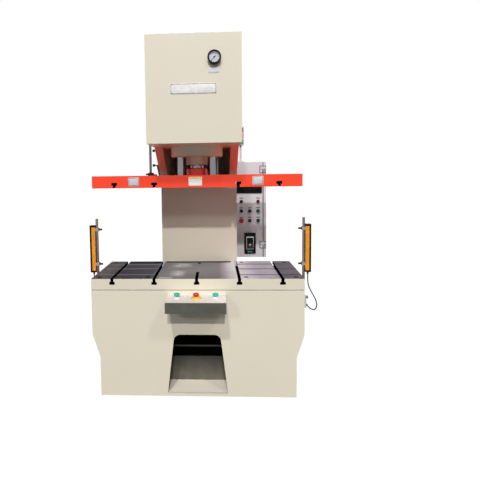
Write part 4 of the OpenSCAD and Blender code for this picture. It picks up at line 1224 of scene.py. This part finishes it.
@dataclass
class CurtainCables:
    """The two cables that run from the light curtains to their socket boxes."""

    diameter: float = 0.008
    roundness: int = 4
    steps: int = 6
    right_route: tuple[Point, ...] = (
        (0.818, -0.090, 0.833), (0.818, -0.090, 0.810), (0.818, -0.092, 0.786),
        (0.820, -0.095, 0.762), (0.826, -0.100, 0.738), (0.836, -0.107, 0.714),
        (0.848, -0.116, 0.690), (0.860, -0.127, 0.667), (0.869, -0.139, 0.643),
        (0.872, -0.152, 0.618), (0.864, -0.165, 0.596), (0.847, -0.176, 0.588),
        (0.828, -0.184, 0.594), (0.811, -0.188, 0.606), (0.794, -0.188, 0.623))
    left_route: tuple[Point, ...] = (
        (-0.791, -0.090, 0.833), (-0.791, -0.090, 0.810), (-0.791, -0.090, 0.785),
        (-0.790, -0.089, 0.760), (-0.789, -0.087, 0.735), (-0.788, -0.084, 0.710),
        (-0.786, -0.079, 0.685), (-0.784, -0.072, 0.660), (-0.782, -0.061, 0.637),
        (-0.780, -0.044, 0.619), (-0.780, -0.022, 0.611), (-0.780, 0.001, 0.617),
        (-0.780, 0.018, 0.633), (-0.780, 0.025, 0.655), (-0.780, 0.025, 0.680))

    def cable(self, shop: Workshop, name: str, route: tuple[Point, ...]) -> None:
        """Makes one cable as a round curve through its route.

        Args:
            shop: The finishes.
            name: The CAD node that it stands for.
            route: The points of its centre line.
        """
        data = bpy.data.curves.new(name + "_sheath", "CURVE")
        data.dimensions = "3D"
        data.bevel_depth, data.bevel_resolution = self.diameter / 2, self.roundness
        data.use_fill_caps = True
        line = data.splines.new("POLY")
        points = self.smooth([Vector(p) for p in route])
        line.points.add(len(points) - 1)
        for spot, point in zip(line.points, points):
            spot.co = (*point, 1.0)
        line.use_smooth = True
        data.materials.append(shop.palette.rubber)
        piece = show(name + "_sheath", data)
        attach(piece, "frame")
        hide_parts(name)

    def smooth(self, points: list[Vector]) -> list[Vector]:
        """Draws a smooth line through points.

        Args:
            points: The points of the route.

        Returns:
            The line's points, from end to end.
        """
        padded = [2 * points[0] - points[1], *points, 2 * points[-1] - points[-2]]
        line = []
        for a, b, c, d in zip(padded, padded[1:], padded[2:], padded[3:]):
            for k in range(self.steps):
                t = k / self.steps
                line.append(0.5 * (2 * b + (c - a) * t + (2 * a - 5 * b + 4 * c - d) * t ** 2
                                   + (3 * b - a - 3 * c + d) * t ** 3))
        return [*line, points[-1]]

    def build(self, shop: Workshop) -> None:
        """Makes both cables."""
        self.cable(shop, "curtain_cable_right", self.right_route)
        self.cable(shop, "curtain_cable_left", self.left_route)


@dataclass
class GapFrame:
    """The welded frame: its paint, the bare plates on the head and the gland's bolts.

    The corner shares are the radii against a plate's shorter side: of the plate's corners,
    and of the outer and the inner edge of the line on it.
    """

    plate_centre: Pair = (0.0, 2.1365)
    plate_size: Pair = (0.304, 0.071)
    border: float = 0.004
    line_width: float = 0.0024
    line_height: float = 0.0004
    corner_shares: Point = (0.12, 0.084, 0.072)
    rivet_inset: Pair = (0.008, 0.007)
    rivet_head: float = 0.006
    small_centre: Pair = (0.134, 2.2485)
    small_size: Pair = (0.072, 0.031)
    sheet: float = 0.0016
    sheet_edge: float = 0.0005
    slot: str = "ground_steel"
    bolt_circle: float = 0.0685
    bolt_head: float = 0.013
    bolts: int = 8

    def sign(self, shop: Workshop, name: str, centre: Pair, size: Pair, y: float,
             material: Material, body: str = "frame", lined: bool = False) -> None:
        """Makes a bare plate on a face that looks to the front.

        Args:
            shop: The finishes.
            name: The plate's name.
            centre: X and Z of its middle.
            size: Its width and height.
            y: The face that it sits on.
            material: Its finish.
            body: The body that it rides on.
            lined: Whether a line runs along its edge.
        """
        width, height = size
        x, z = centre
        corner, *line_corners = (min(size) * share for share in self.corner_shares)
        tile(name, size, corner, self.sheet, (x, y, z), self.sheet_edge
             ).finish(material, body, self.slot)
        if lined:
            insets = (self.border, self.border + self.line_width)
            outer, inner = (rounded(width - 2 * inset, height - 2 * inset, radius)
                            for inset, radius in zip(insets, line_corners))
            levels = [[(px, pz, h) for px, pz in line] for line, h in
                      ((outer, 0.0), (outer, self.line_height), (inner, self.line_height),
                       (inner, 0.0))]
            edge = Shape(name + "_edge")
            edge.skin(levels, Matrix.Translation((x, y - self.sheet, z)) @ Axis.FRONT.turn(), True)
            edge.finish(shop.palette.ink, body, "black_plastic")

    def build(self, shop: Workshop) -> None:
        """Paints the frame and adds what is fixed to it.

        Args:
            shop: The finishes and the fasteners.
        """
        p = shop.palette
        shop.paint(p.frame, "frame_side_left", "frame_side_right", "head_front_plate",
                   "head_top_plate", "head_bottom_plate", "column_front_plate",
                   "column_back_plate", "base_front_plate", "base_side_left", "base_side_right",
                   "base_back_plates", "base_top_plate", "rear_door")
        shop.paint(p.cylinder, "cylinder_body", "rod_gland")
        shop.paint(p.recess, "knee_liner")
        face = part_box("head_front_plate")[0][1]
        self.sign(shop, "maker_plate_blank", self.plate_centre, self.plate_size, face, p.white,
                  lined=True)
        self.sign(shop, "gauge_plate_blank", self.small_centre, self.small_size, face, p.plate)
        x, z = self.plate_centre
        wide, tall = (size / 2 - inset for size, inset in zip(self.plate_size, self.rivet_inset))
        rivets = [(x + sx * wide, face - self.sheet, z + sz * tall)
                  for sx in (-1, 0, 1) for sz in (-1, 1)]
        shop.fasteners.place("maker_plate_rivets", Head.RIVET, rivets, Axis.FRONT,
                             self.rivet_head, p.screw, "frame")
        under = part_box("rod_gland")[0][2]
        seats = [(px, py, under) for px, py in ring(self.bolt_circle, self.bolts,
                                                    math.pi / self.bolts)]
        shop.fasteners.place("gland_bolts", Head.HEX, seats, Axis.DOWN, self.bolt_head, p.screw,
                             "frame")


@dataclass
class Ram:
    """The piston rod, its collar, the guides and the slotted plate."""

    sign_rise: float = 0.0005
    side_signs: tuple[tuple[str, float], ...] = (("left", -0.4465), ("right", 0.438))
    side_size: Pair = (0.078, 0.062)
    middle_x: float = -0.0045
    middle_size: Pair = (0.096, 0.063)
    band_size: Pair = (0.09, 0.013)
    band_corner: float = 0.002
    band_rise: float = 0.0225
    striker_foot: Pair = (1.57, 1.606)
    bolt_circle: float = 0.0695
    bolts: int = 8
    bolt_start: float = 0.2

    def build(self, shop: Workshop, gap_frame: GapFrame) -> None:
        """Dresses the ram and adds its plates.

        Args:
            shop: The finishes.
            gap_frame: The maker of bare plates.
        """
        p = shop.palette
        shop.paint(p.ram, "ram_plate")
        shop.paint(p.collar, "rod_collar")
        shop.paint(p.chrome, "guide_rods")
        shop.paint(p.rod, "piston_rod")
        shop.paint(p.bronze, "guide_bushes")
        striker = Bands("striker_finish", "Z", (114, 109, 111), [(*self.striker_foot, (10, 9, 9))],
                        0.32, mirror=0.2)
        shop.paint(striker.make(), "striker_rod")
        shop.paint(p.screw, "limit_switches")
        face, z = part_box("ram_plate")[0][1], middle("ram_plate")[2] + self.sign_rise
        for side, x in self.side_signs:
            gap_frame.sign(shop, "ram_plate_blank_" + side, (x, z), self.side_size, face, p.plate,
                           "ram", lined=True)
        gap_frame.sign(shop, "ram_plate_blank_middle", (self.middle_x, z), self.middle_size, face,
                       p.bright, "ram")
        at = (self.middle_x, face - gap_frame.sheet, z + self.band_rise)
        tile("ram_plate_band", self.band_size, self.band_corner, gap_frame.line_height, at
             ).finish(p.yellow, "ram", "yellow_plastic")
        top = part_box("rod_collar")[1][2]
        seats = [(x, y, top) for x, y in ring(self.bolt_circle, self.bolts, self.bolt_start)]
        shop.fasteners.place("collar_bolts", Head.HEX, seats, Axis.UP, gap_frame.bolt_head,
                             p.screw, "ram")


@dataclass
class Gauge:
    """The pressure gauge: bezel, dial, numbers and glass.

    A mark is its length and half its width. The ring's outline is radii from the wall's inner
    side and heights from the ring's place.
    """

    dial_depth: float = 0.0135
    dial_sheet: float = 0.0006
    needle_hole: float = 0.0055
    wall: float = 0.0062
    ring_outline: tuple[Pair, ...] = ((0.0, -0.008), (0.0, 0.001), (-0.0028, 0.001),
                                      (-0.0053, -0.008))
    ring_depth: float = 0.002
    glass_inset: float = 0.0088
    glass_depth: float = 0.0022
    glass_sheet: float = 0.0012
    mark_inset: float = 0.013
    number_inset: float = 0.023
    print_lift: float = 0.0001
    long_mark: Pair = (0.0055, 0.0005)
    short_mark: Pair = (0.0025, 0.00028)
    facets: int = 64
    start: float = 225.0
    sweep: float = 270.0
    marks: int = 50
    long_every: int = 10
    numbers: int = 6
    number_step: int = 5
    number_size: float = 0.0062

    def __post_init__(self) -> None:
        """Takes the gauge's place and size from its case."""
        (left, self.front, _), (right, _, _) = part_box("gauge_case")
        self.x, _, self.z = middle("gauge_case")
        self.radius = (right - left) / 2
        self.dial_y = self.front + self.dial_depth
        self.print_y = self.dial_y - self.print_lift

    def spot(self, radius: float, share: float, aside: float = 0.0) -> Pair:
        """Returns a point from the dial's middle, at a share of the scale.

        Args:
            radius: How far from the middle it lies.
            share: Where on the scale it lies, from 0 to 1.
            aside: How far it lies beside the line from the middle.

        Returns:
            How far it lies to the right of the middle and above it.
        """
        angle = math.radians(self.start - self.sweep * share)
        return (radius * math.cos(angle) - aside * math.sin(angle),
                radius * math.sin(angle) + aside * math.cos(angle))

    def turned(self, name: str, profile: Sequence[Pair], y: float, material: Material,
               slot: str = "black_plastic", hollow: bool = True) -> None:
        """Adds a round piece about the gauge's axis.

        Args:
            name: The piece's name.
            profile: Its radii and heights, which grow to the front.
            y: Where height 0 lies.
            material: Its finish.
            slot: The record's material slot.
            hollow: Whether it is a ring.
        """
        Shape(name).lathe(profile, (self.x, y, self.z), Axis.FRONT, self.facets, hollow
                          ).finish(material, "frame", slot)

    def ticks(self, shop: Workshop) -> None:
        """Puts the scale's short and long marks on the dial.

        Args:
            shop: The finishes and the fasteners.
        """
        ticks = Shape("gauge_ticks")
        outer = self.radius - self.mark_inset
        for k in range(self.marks + 1):
            length, half = self.short_mark if k % self.long_every else self.long_mark
            outline = [self.spot(radius, k / self.marks, aside) for radius, aside in
                       ((outer - length, -half), (outer, -half), (outer, half), (outer - length, half))]
            ticks.prism(outline, 2 * self.print_lift, (self.x, self.print_y, self.z), Axis.FRONT)
        ticks.finish(shop.palette.ink, "frame", "black_plastic")

    def figures(self, shop: Workshop) -> None:
        """Puts plain numbers round the dial.

        Args:
            shop: The finishes and the fasteners.
        """
        for k in range(self.numbers):
            curve = bpy.data.curves.new(f"gauge_number_{k}", "FONT")
            curve.body = str(self.number_step * k)
            curve.size, curve.extrude = self.number_size, self.print_lift
            curve.align_x, curve.align_y = "CENTER", "CENTER"
            name = curve.name
            data = baked(show(name, curve))
            right, up = self.spot(self.radius - self.number_inset, k / (self.numbers - 1))
            at = (self.x + right, self.print_y, self.z + up)
            data.transform(Matrix.Translation(at) @ Axis.FRONT.turn())
            dress(data, name, shop.palette.ink, "frame")

    def build(self, shop: Workshop) -> None:
        """Dresses the gauge.

        Args:
            shop: The finishes and the fasteners.
        """
        p = shop.palette
        shop.paint(p.gloss_black, "gauge_case", "gauge_needle")
        well = self.radius - self.wall
        self.turned("gauge_dial", [(well, 0.0), (well, self.dial_sheet),
                                   (self.needle_hole, self.dial_sheet), (self.needle_hole, 0.0)],
                    self.dial_y + self.dial_sheet, p.dial, "grey_plastic")
        self.turned("gauge_ring", [(well + step, height) for step, height in self.ring_outline],
                    self.front + self.ring_depth, p.gloss_black)
        self.ticks(shop)
        self.figures(shop)
        glass = self.radius - self.glass_inset
        self.turned("gauge_glass", [(glass, 0.0), (glass, self.glass_sheet)],
                    self.front + self.glass_depth, p.glass, hollow=False)


@dataclass
class Console:
    """The two-hand console with its mushroom buttons."""

    side_inset: float = 0.012
    front_inset: float = 0.014
    back_inset: float = 0.03
    stop_half: float = 0.06
    screw_head: float = 0.009

    def build(self, shop: Workshop) -> None:
        """Dresses the console.

        Args:
            shop: The finishes and the fasteners.
        """
        p = shop.palette
        shop.paint(p.sheet, "console_box", "console_lid")
        collars = Bands("button_collar_finish", "X", (250, 250, 252),
                        [(-self.stop_half, self.stop_half, (250, 206, 60))], 0.3)
        shop.paint(collars.make(), "button_collars")
        shop.paint(p.green, "palm_button_left", "palm_button_right")
        shop.paint(p.red, "console_stop")
        low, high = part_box("console_lid")
        seats = [(x, y, high[2]) for x in (low[0] + self.side_inset, high[0] - self.side_inset)
                 for y in (low[1] + self.front_inset, high[1] - self.back_inset)]
        shop.fasteners.place("console_lid_screws", Head.PAN, seats, Axis.UP, self.screw_head,
                             p.bolt, "frame")


@dataclass
class Table:
    """The slotted table and its screws."""

    def build(self, shop: Workshop) -> None:
        """Dresses the table."""
        shop.paint(shop.palette.table, "bolster_table")
        shop.paint(shop.palette.screw, "table_screws")


def on_door(piece: Shape, material: Material, slot: str = "black_plastic") -> None:
    """Finishes a piece that rides on the cabinet's door."""
    piece.finish(material, "cabinet_door", slot)


@dataclass
class HingeSide:
    """The door's gap on its hinge side: a dark strip in the gap as painted shadow, the folded edges in a
    lighter powder as painted highlight, and the hinges' plates with dark rims of painted shade.

    A stretch across is measured from the hinges' axis, and a stretch up from a hinge's middle.
    A depth is how far the face and the back of a piece stand in front of the door.
    """

    strip: float = 0.024
    heights: Pair = (0.943, 1.622)
    end_gap: float = 0.003
    gap_shadow: Pair = (-0.0072, 0.0012)
    gap_shadow_depth: Pair = (0.0006, -0.0002)
    door_fold: Pair = (-0.0118, -0.0075)
    strip_fold: Pair = (0.0022, 0.0068)
    fold_depth: Pair = (0.0014, -0.0002)
    fold_edge: float = 0.0006
    door_rim: Pair = (-0.0345, -0.0055)
    strip_rim: Pair = (0.0025, 0.0238)
    rim_half: float = 0.034
    rim_depth: Pair = (0.0022, -0.0002)
    door_cover: tuple[Pair, Pair] = ((-0.0275, -0.0095), (-0.027, -0.003))
    strip_cover: tuple[Pair, Pair] = ((0.0065, 0.0205), (0.003, 0.027))
    cover_depth: Pair = (0.0036, 0.0020)
    cover_edge: float = 0.0008
    screw_head: float = 0.005
    screw_depth: float = 0.004
    screw_aside: float = 0.016
    screw_up: float = 0.014
    screw_steps: Pair = (-0.006, 0.006)

    def __post_init__(self) -> None:
        """Takes the door's face and the hinges' axis from the frame."""
        low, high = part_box("cabinet_body")
        self.face, self.axis_x = low[1], high[0] - self.strip

    def slab(self, name: str, material: Material, body: str, across: Pair, up: Pair, depth: Pair,
             edge: float = 0.0) -> None:
        """Adds a flat piece in front of the door.

        Args:
            name: The piece's name.
            material: Its finish.
            body: The body that it rides on.
            across: Its sides, from the hinges' axis.
            up: Its lower and upper end.
            depth: How far its face and its back stand in front of the door.
            edge: The radius of its edges.
        """
        piece = Shape(name).block((self.axis_x + across[0], self.face - depth[0], up[0]),
                                  (self.axis_x + across[1], self.face - depth[1], up[1]), edge)
        piece.finish(material, body, "cabinet_paint")

    def gap(self, shop: Workshop) -> None:
        """Adds a dark strip along the door's gap, painted shadow, and the folded edges beside it in a
        lighter powder, painted highlight.

        Args:
            shop: The finishes and the fasteners.
        """
        p = shop.palette
        low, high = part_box("cabinet_door")
        tall = (low[2] + self.end_gap, high[2] - self.end_gap)
        # A dark strip in the gap: painted shadow.
        self.slab("door_seal", p.shade, "cabinet_door", self.gap_shadow, tall, self.gap_shadow_depth)
        for name, body, across in (("door_fold", "cabinet_door", self.door_fold),
                                   ("strip_fold", "frame", self.strip_fold)):
            self.slab(name, p.cabinet_lit_edge, body, across, tall, self.fold_depth, self.fold_edge)

    def plates(self, shop: Workshop) -> None:
        """Adds a dark rim of painted shade and a raised cover in the lighter edge powder to each hinge
        leaf.

        Args:
            shop: The finishes and the fasteners.
        """
        p = shop.palette
        for k, z in enumerate(self.heights):
            for leaf, body, across in (("door", "cabinet_door", self.door_rim),
                                       ("strip", "frame", self.strip_rim)):
                self.slab(f"hinge_rim_{leaf}_{k}", p.shade, body, across,
                          (z - self.rim_half, z + self.rim_half), self.rim_depth)
            for leaf, body, (across, up) in (("door", "cabinet_door", self.door_cover),
                                             ("strip", "frame", self.strip_cover)):
                self.slab(f"hinge_cover_{leaf}_{k}", p.cabinet_lit_edge, body, across,
                          (z + up[0], z + up[1]), self.cover_depth, self.cover_edge)

    def screws(self, shop: Workshop) -> None:
        """Adds the two screws in the open half of each hinge leaf.

        Args:
            shop: The finishes and the fasteners.
        """
        for name, body, side in (("door_hinge_screws", "cabinet_door", -1),
                                 ("frame_hinge_screws", "frame", 1)):
            seats = [(self.axis_x + side * self.screw_aside, self.face - self.screw_depth,
                      z - side * self.screw_up + step)
                     for z in self.heights for step in self.screw_steps]
            shop.fasteners.place(name, Head.PAN, seats, Axis.FRONT, self.screw_head,
                                 shop.palette.bolt, body)


@dataclass
class Screen:
    """The operator screen's thin bezel and its glass."""

    rim: float = 0.006
    bezel: float = 0.0018
    bezel_edge: float = 0.0008
    glass_size: Pair = (0.19, 0.118)
    glass_corner: float = 0.002
    glass_sheet: float = 0.0006
    glass_edge: float = 0.0002
    glass_rise: float = 0.006

    def build(self, shop: Workshop) -> None:
        """Adds the bezel and the glass.

        Args:
            shop: The finishes and the fasteners.
        """
        low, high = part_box("screen_panel")
        x, z = (low[0] + high[0]) / 2, (low[2] + high[2]) / 2
        size = (high[0] - low[0] - self.rim, high[2] - low[2] - self.rim)
        on_door(tile("screen_bezel", size, self.rim, self.bezel, (x, low[1], z), self.bezel_edge),
                shop.palette.black)
        on_door(tile("screen_glass", self.glass_size, self.glass_corner, self.glass_sheet,
                     (x, low[1] - self.bezel, z + self.glass_rise), self.glass_edge),
                shop.palette.gloss_black)


@dataclass
class Keypad:
    """The drive keypad's shell, frame, display, keys, dial and strip."""

    skin: float = 0.0008
    rim: float = 0.0005
    shell_height: float = 0.034
    shell_edge: float = 0.0006
    floor: float = 0.003
    rise: float = 0.0015
    frame_size: Pair = (0.066, 0.118)
    frame_corner: float = 0.004
    frame_sheet: float = 0.0022
    frame_edge: float = 0.0008
    panel_size: Pair = (0.0575, 0.1)
    panel_corner: float = 0.003
    panel_sheet: float = 0.0008
    panel_edge: float = 0.0003
    pitch: Pair = (0.018, 0.02)
    key: float = 0.012
    key_corner: float = 0.003
    key_height: float = 0.0016
    key_edge: float = 0.0004
    dial_drop: float = 0.014
    dial: tuple[Pair, ...] = ((0.0085, 0.0), (0.0085, 0.004), (0.007, 0.005), (0.0, 0.005))
    facets: int = 32
    strip_size: Pair = (0.044, 0.009)
    strip_corner: float = 0.002
    strip_sheet: float = 0.0006
    strip_edge: float = 0.0002
    strip_rise: float = 0.016

    def __post_init__(self) -> None:
        """Takes the keypad's place from its housing."""
        self.low, self.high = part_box("keypad_unit")
        self.x, self.z = ((self.low[k] + self.high[k]) / 2 for k in (0, 2))
        self.floor_y = self.low[1] + self.floor
        self.keys_y = self.floor_y - self.frame_sheet - self.panel_sheet
        self.dial_z = self.z - self.dial_drop

    def plates(self, shop: Workshop) -> None:
        """Adds the shell below, the frame and the dark panel in it.

        Args:
            shop: The finishes and the fasteners.
        """
        p = shop.palette
        low, high, rim = self.low, self.high, self.rim
        shell = Shape("keypad_shell").block(
            (low[0] + rim, low[1] - self.skin, low[2] + rim),
            (high[0] - rim, low[1] + rim, low[2] + self.shell_height), self.shell_edge)
        on_door(shell, p.gloss_black)
        z = self.z + self.rise
        on_door(tile("keypad_frame", self.frame_size, self.frame_corner, self.frame_sheet,
                     (self.x, self.floor_y, z), self.frame_edge), p.bolt, "clamp_zinc")
        on_door(tile("keypad_panel", self.panel_size, self.panel_corner, self.panel_sheet,
                     (self.x, self.floor_y - self.frame_sheet, z), self.panel_edge), p.gloss_black)

    def keys(self, shop: Workshop) -> None:
        """Adds the keys, two rows of three with the dial in place of one.

        Args:
            shop: The finishes and the fasteners.
        """
        keys = Shape("keypad_keys")
        for c in (-1, 0, 1):
            for r in (0, 1):
                if (c, r) != (0, 0):
                    keys.prism(rounded(self.key, self.key, self.key_corner), self.key_height,
                               (self.x + self.pitch[0] * c, self.keys_y,
                                self.dial_z - self.pitch[1] * r), Axis.FRONT, self.key_edge)
        on_door(keys, shop.palette.key)

    def build(self, shop: Workshop) -> None:
        """Dresses the keypad.

        Args:
            shop: The finishes and the fasteners.
        """
        p = shop.palette
        self.plates(shop)
        self.keys(shop)
        dial = Shape("keypad_dial").lathe(self.dial, (self.x, self.keys_y, self.dial_z), Axis.FRONT,
                                          self.facets)
        on_door(dial, p.zinc, "clamp_zinc")
        on_door(tile("keypad_strip", self.strip_size, self.strip_corner, self.strip_sheet,
                     (self.x, self.low[1] - self.skin, self.low[2] + self.strip_rise),
                     self.strip_edge), p.blue, "teal_plastic")


@dataclass
class Cabinet:
    """The control cabinet: door, buttons and what is inside.

    A place among the buttons is its column and its row, counted from the left and from below.
    """

    label_size: Pair = (0.034, 0.011)
    label_corner: float = 0.0015
    label_sheet: float = 0.0008
    label_edge: float = 0.0003
    label_rise: float = 0.03
    unlabelled: tuple[int, int] = (1, 2)
    ring_outline: tuple[Pair, ...] = ((0.0165, 0.0), (0.0165, 0.0009), (0.0125, 0.0014),
                                      (0.0115, 0.0))
    ring_rows: int = 2
    selector_place: tuple[int, int] = (0, 1)
    facets: int = 36
    mark: tuple[Point, Point] = ((-0.0012, -0.0006, -0.013), (0.0012, 0.0, -0.002))
    mark_depth: float = 0.022
    mark_turn: float = math.pi / 4
    lamp_dark: Colour = (12, 12, 13)
    lamp_red: Colour = (122, 6, 38)
    mounting_plate: Colour = (214, 212, 206)
    gear: tuple[tuple[float, float, Colour], ...] = (
        (0.87, 1.03, (52, 54, 58)), (1.03, 1.13, (150, 152, 152)), (1.21, 1.335, (40, 42, 44)),
        (1.43, 1.51, (176, 184, 170)))

    def __post_init__(self) -> None:
        """Takes the door's face and the rows of buttons from the frame."""
        self.left, self.face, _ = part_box("cabinet_body")[0]
        self.columns = [middle(name)[0] for name in ("selector_knob", "push_teal", "push_green_upper")]
        self.rows = [middle(name)[2] for name in ("push_red", "push_teal", "pilot_lamps")]

    def labels(self, shop: Workshop) -> None:
        """Puts a small blank label above each button.

        Args:
            shop: The finishes and the fasteners.
        """
        for r, z in enumerate(self.rows):
            for c, x in enumerate(self.columns):
                if (c, r) != self.unlabelled:
                    label = tile(f"button_label_{c}_{r}", self.label_size, self.label_corner,
                                 self.label_sheet, (x, self.face, z + self.label_rise),
                                 self.label_edge)
                    on_door(label, shop.palette.label, "grey_plastic")

    def rings(self, shop: Workshop) -> None:
        """Puts a dark ring round each button's stem: the button's bezel, made wide and black as painted
        shade round the button.

        Args:
            shop: The finishes and the fasteners.
        """
        for r, z in enumerate(self.rows[:self.ring_rows]):
            for c, x in enumerate(self.columns):
                if (c, r) != self.selector_place:
                    piece = Shape(f"button_ring_{c}_{r}").lathe(
                        self.ring_outline, (x, self.face, z), Axis.FRONT, self.facets, True)
                    on_door(piece, shop.palette.gloss_black)

    def selector(self, shop: Workshop) -> None:
        """Adds the white mark on the selector, which points down to the left at rest.

        Args:
            shop: The finishes and the fasteners.
        """
        column, row = self.selector_place
        at = (self.columns[column], self.face - self.mark_depth, self.rows[row])
        mark = Shape("selector_mark").block(*self.mark)
        mark.take(list(mark.mesh.verts),
                  Matrix.Translation(at) @ Matrix.Rotation(self.mark_turn, 4, "Y"))
        mark.finish(shop.palette.white, "selector", "grey_plastic")

    def paint(self, shop: Workshop) -> None:
        """Gives the cabinet's own solids their finishes.

        Args:
            shop: The finishes and the fasteners.
        """
        p = shop.palette
        shop.paint(p.cabinet, "cabinet_body", "cabinet_door")
        shop.paint(p.hinge, "door_hinges")
        shop.paint(p.gloss_black, "screen_panel", "keypad_unit")
        shop.paint(p.black, "selector_knob")
        shop.paint(p.crimson, "cabinet_stop")
        shop.paint(p.teal, "push_teal")
        shop.paint(p.deep_green, "push_green_upper", "push_green_lower")
        shop.paint(p.deep_red, "push_red")
        lamps = Bands("pilot_lamp_finish", "X", self.lamp_red,
                      [(self.left, self.columns[1], self.lamp_dark)], 0.3, mirror=0.12)
        shop.paint(lamps.make(), "pilot_lamps")
        inside = Bands("switchgear_finish", "Z", self.mounting_plate, self.gear, 0.45)
        shop.paint(inside.make(), "control_panel")

    def build(self, shop: Workshop) -> None:
        """Dresses the cabinet.

        Args:
            shop: The finishes and the fasteners.
        """
        self.paint(shop)
        self.labels(shop)
        self.rings(shop)
        hinge_side = HingeSide()
        hinge_side.gap(shop)
        hinge_side.plates(shop)
        Screen().build(shop)
        Keypad().build(shop)
        self.selector(shop)
        hinge_side.screws(shop)


@dataclass
class SignalTower:
    """The three lamps above the cabinet, with a pinkish ring under them."""

    ring_depth: Pair = (0.03, 0.004)
    over: float = 0.01

    def build(self, shop: Workshop) -> None:
        """Dresses the tower.

        Args:
            shop: The finishes and the fasteners.
        """
        low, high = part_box("tower_lenses")
        third = (high[2] - low[2]) / 3
        lens = Bands("tower_lens_finish", "Z", (88, 168, 148),
                     [(low[2] + third, low[2] + 2 * third, (238, 168, 152)),
                      (low[2] + 2 * third, high[2] + self.over, (200, 92, 118))], 0.18, 0.15)
        shop.paint(lens.make(), "tower_lenses")
        pole = Bands("tower_pole_finish", "Z", (240, 230, 234),
                     [(*(low[2] - depth for depth in self.ring_depth), (150, 124, 134))], 0.3)
        shop.paint(pole.make(), "tower_pole")


@dataclass
class LightCurtains:
    """The two light curtains, their posts, clamps and socket boxes."""

    half: float = 0.02
    reach: float = 0.0208
    stub: float = 0.017
    strip: float = 0.013
    window_inset: float = 0.026
    window_half: float = 0.0075
    window_sheet: float = 0.0014
    edge: float = 0.0003
    cap: float = 0.014
    cap_over: float = 0.0004
    cap_proud: float = 0.0014
    cap_edge: float = 0.0025
    cap_edge_steps: int = 3
    proud: float = 0.0006
    jaw: float = 0.026
    jaw_over: float = 0.01
    jaw_grey: Colour = (168, 164, 166)
    right_box: Pair = (0.785, 0.9)

    def __post_init__(self) -> None:
        """Takes the curtains' place from the frame."""
        self.y = middle("curtain_housings")[1]
        (self.left, _, low), (self.right, _, self.high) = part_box("curtain_housings")
        self.low = low + self.stub

    def housing(self, shop: Workshop, name: str, x: float, side: int) -> None:
        """Adds one curtain's window, strips and end caps.

        Args:
            shop: The finishes.
            name: The curtain's name.
            x: Its middle, sideways.
            side: 1 for the right one, -1 for the left one.
        """
        p = shop.palette
        inner, outer = x - side * self.half, x + side * self.half
        window = Shape(name + "_window").block(
            (inner, self.y - self.window_half, self.low + self.window_inset),
            (inner + side * self.window_sheet, self.y + self.window_half,
             self.high - self.window_inset), self.edge)
        window.finish(p.lens, "frame", "black_plastic")
        deep = self.half + self.proud
        strip = Shape(name + "_strip").block(
            (outer + side * self.proud, self.y - deep, self.low + self.cap),
            (outer - side * self.strip, self.y + deep, self.high - self.cap), self.edge)
        strip.finish(p.black, "frame", "black_plastic")
        reach = self.half + self.cap_proud
        for end, z, up in (("bottom", self.low, 1), ("top", self.high, -1)):
            cap = Shape(f"{name}_{end}_cap").block(
                (x - reach, self.y - reach, z - up * self.cap_over),
                (x + reach, self.y + reach, z + up * (self.cap + self.cap_over)),
                self.cap_edge, self.cap_edge_steps)
            cap.finish(p.black, "frame", "black_plastic")

    def build(self, shop: Workshop) -> None:
        """Dresses the curtains.

        Args:
            shop: The finishes and the fasteners.
        """
        p = shop.palette
        shop.paint(p.curtain, "curtain_housings")
        shop.paint(p.drawn, "curtain_posts")
        low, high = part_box("curtain_clamps")
        clamps = Bands("curtain_clamp_finish", "X", (20, 19, 20),
                       [(low[0] - self.jaw_over, low[0] + self.jaw, self.jaw_grey),
                        (high[0] - self.jaw, high[0] + self.jaw_over, self.jaw_grey)],
                       mirror=0.15)
        shop.paint(clamps.make(), "curtain_clamps")
        boxes = Bands("socket_box_finish", "X", (198, 192, 196), [(*self.right_box, (40, 40, 42))])
        shop.paint(boxes.make(), "cable_boxes")
        self.housing(shop, "curtain_left", self.left + self.reach, -1)
        self.housing(shop, "curtain_right", self.right - self.reach, 1)


@dataclass
class PowerUnit:
    """The tank, the motor and the valves behind the rear door."""

    def build(self, shop: Workshop) -> None:
        """Dresses the power unit.

        Args:
            shop: The finishes and the fasteners.
        """
        p = shop.palette
        shop.paint(p.tank, "oil_tank")
        shop.paint(p.motor, "motor_body")
        shop.paint(p.black, "motor_fan")
        shop.paint(p.screw, "hydraulic_pump")
        shop.paint(p.pipe, "valve_block", "hydraulic_pipes")


def main() -> None:
    """Dresses the press, one sub-assembly after another."""
    logging.basicConfig(level=logging.INFO, format="%(message)s")
    Studio().build()
    shop = Workshop(Palette(), Fasteners())
    CurtainCables().build(shop)
    gap_frame = GapFrame()
    gap_frame.build(shop)
    Ram().build(shop, gap_frame)
    Gauge().build(shop)
    Table().build(shop)
    Console().build(shop)
    Cabinet().build(shop)
    SignalTower().build(shop)
    LightCurtains().build(shop)
    PowerUnit().build(shop)


if __name__ == "__main__":
    main()
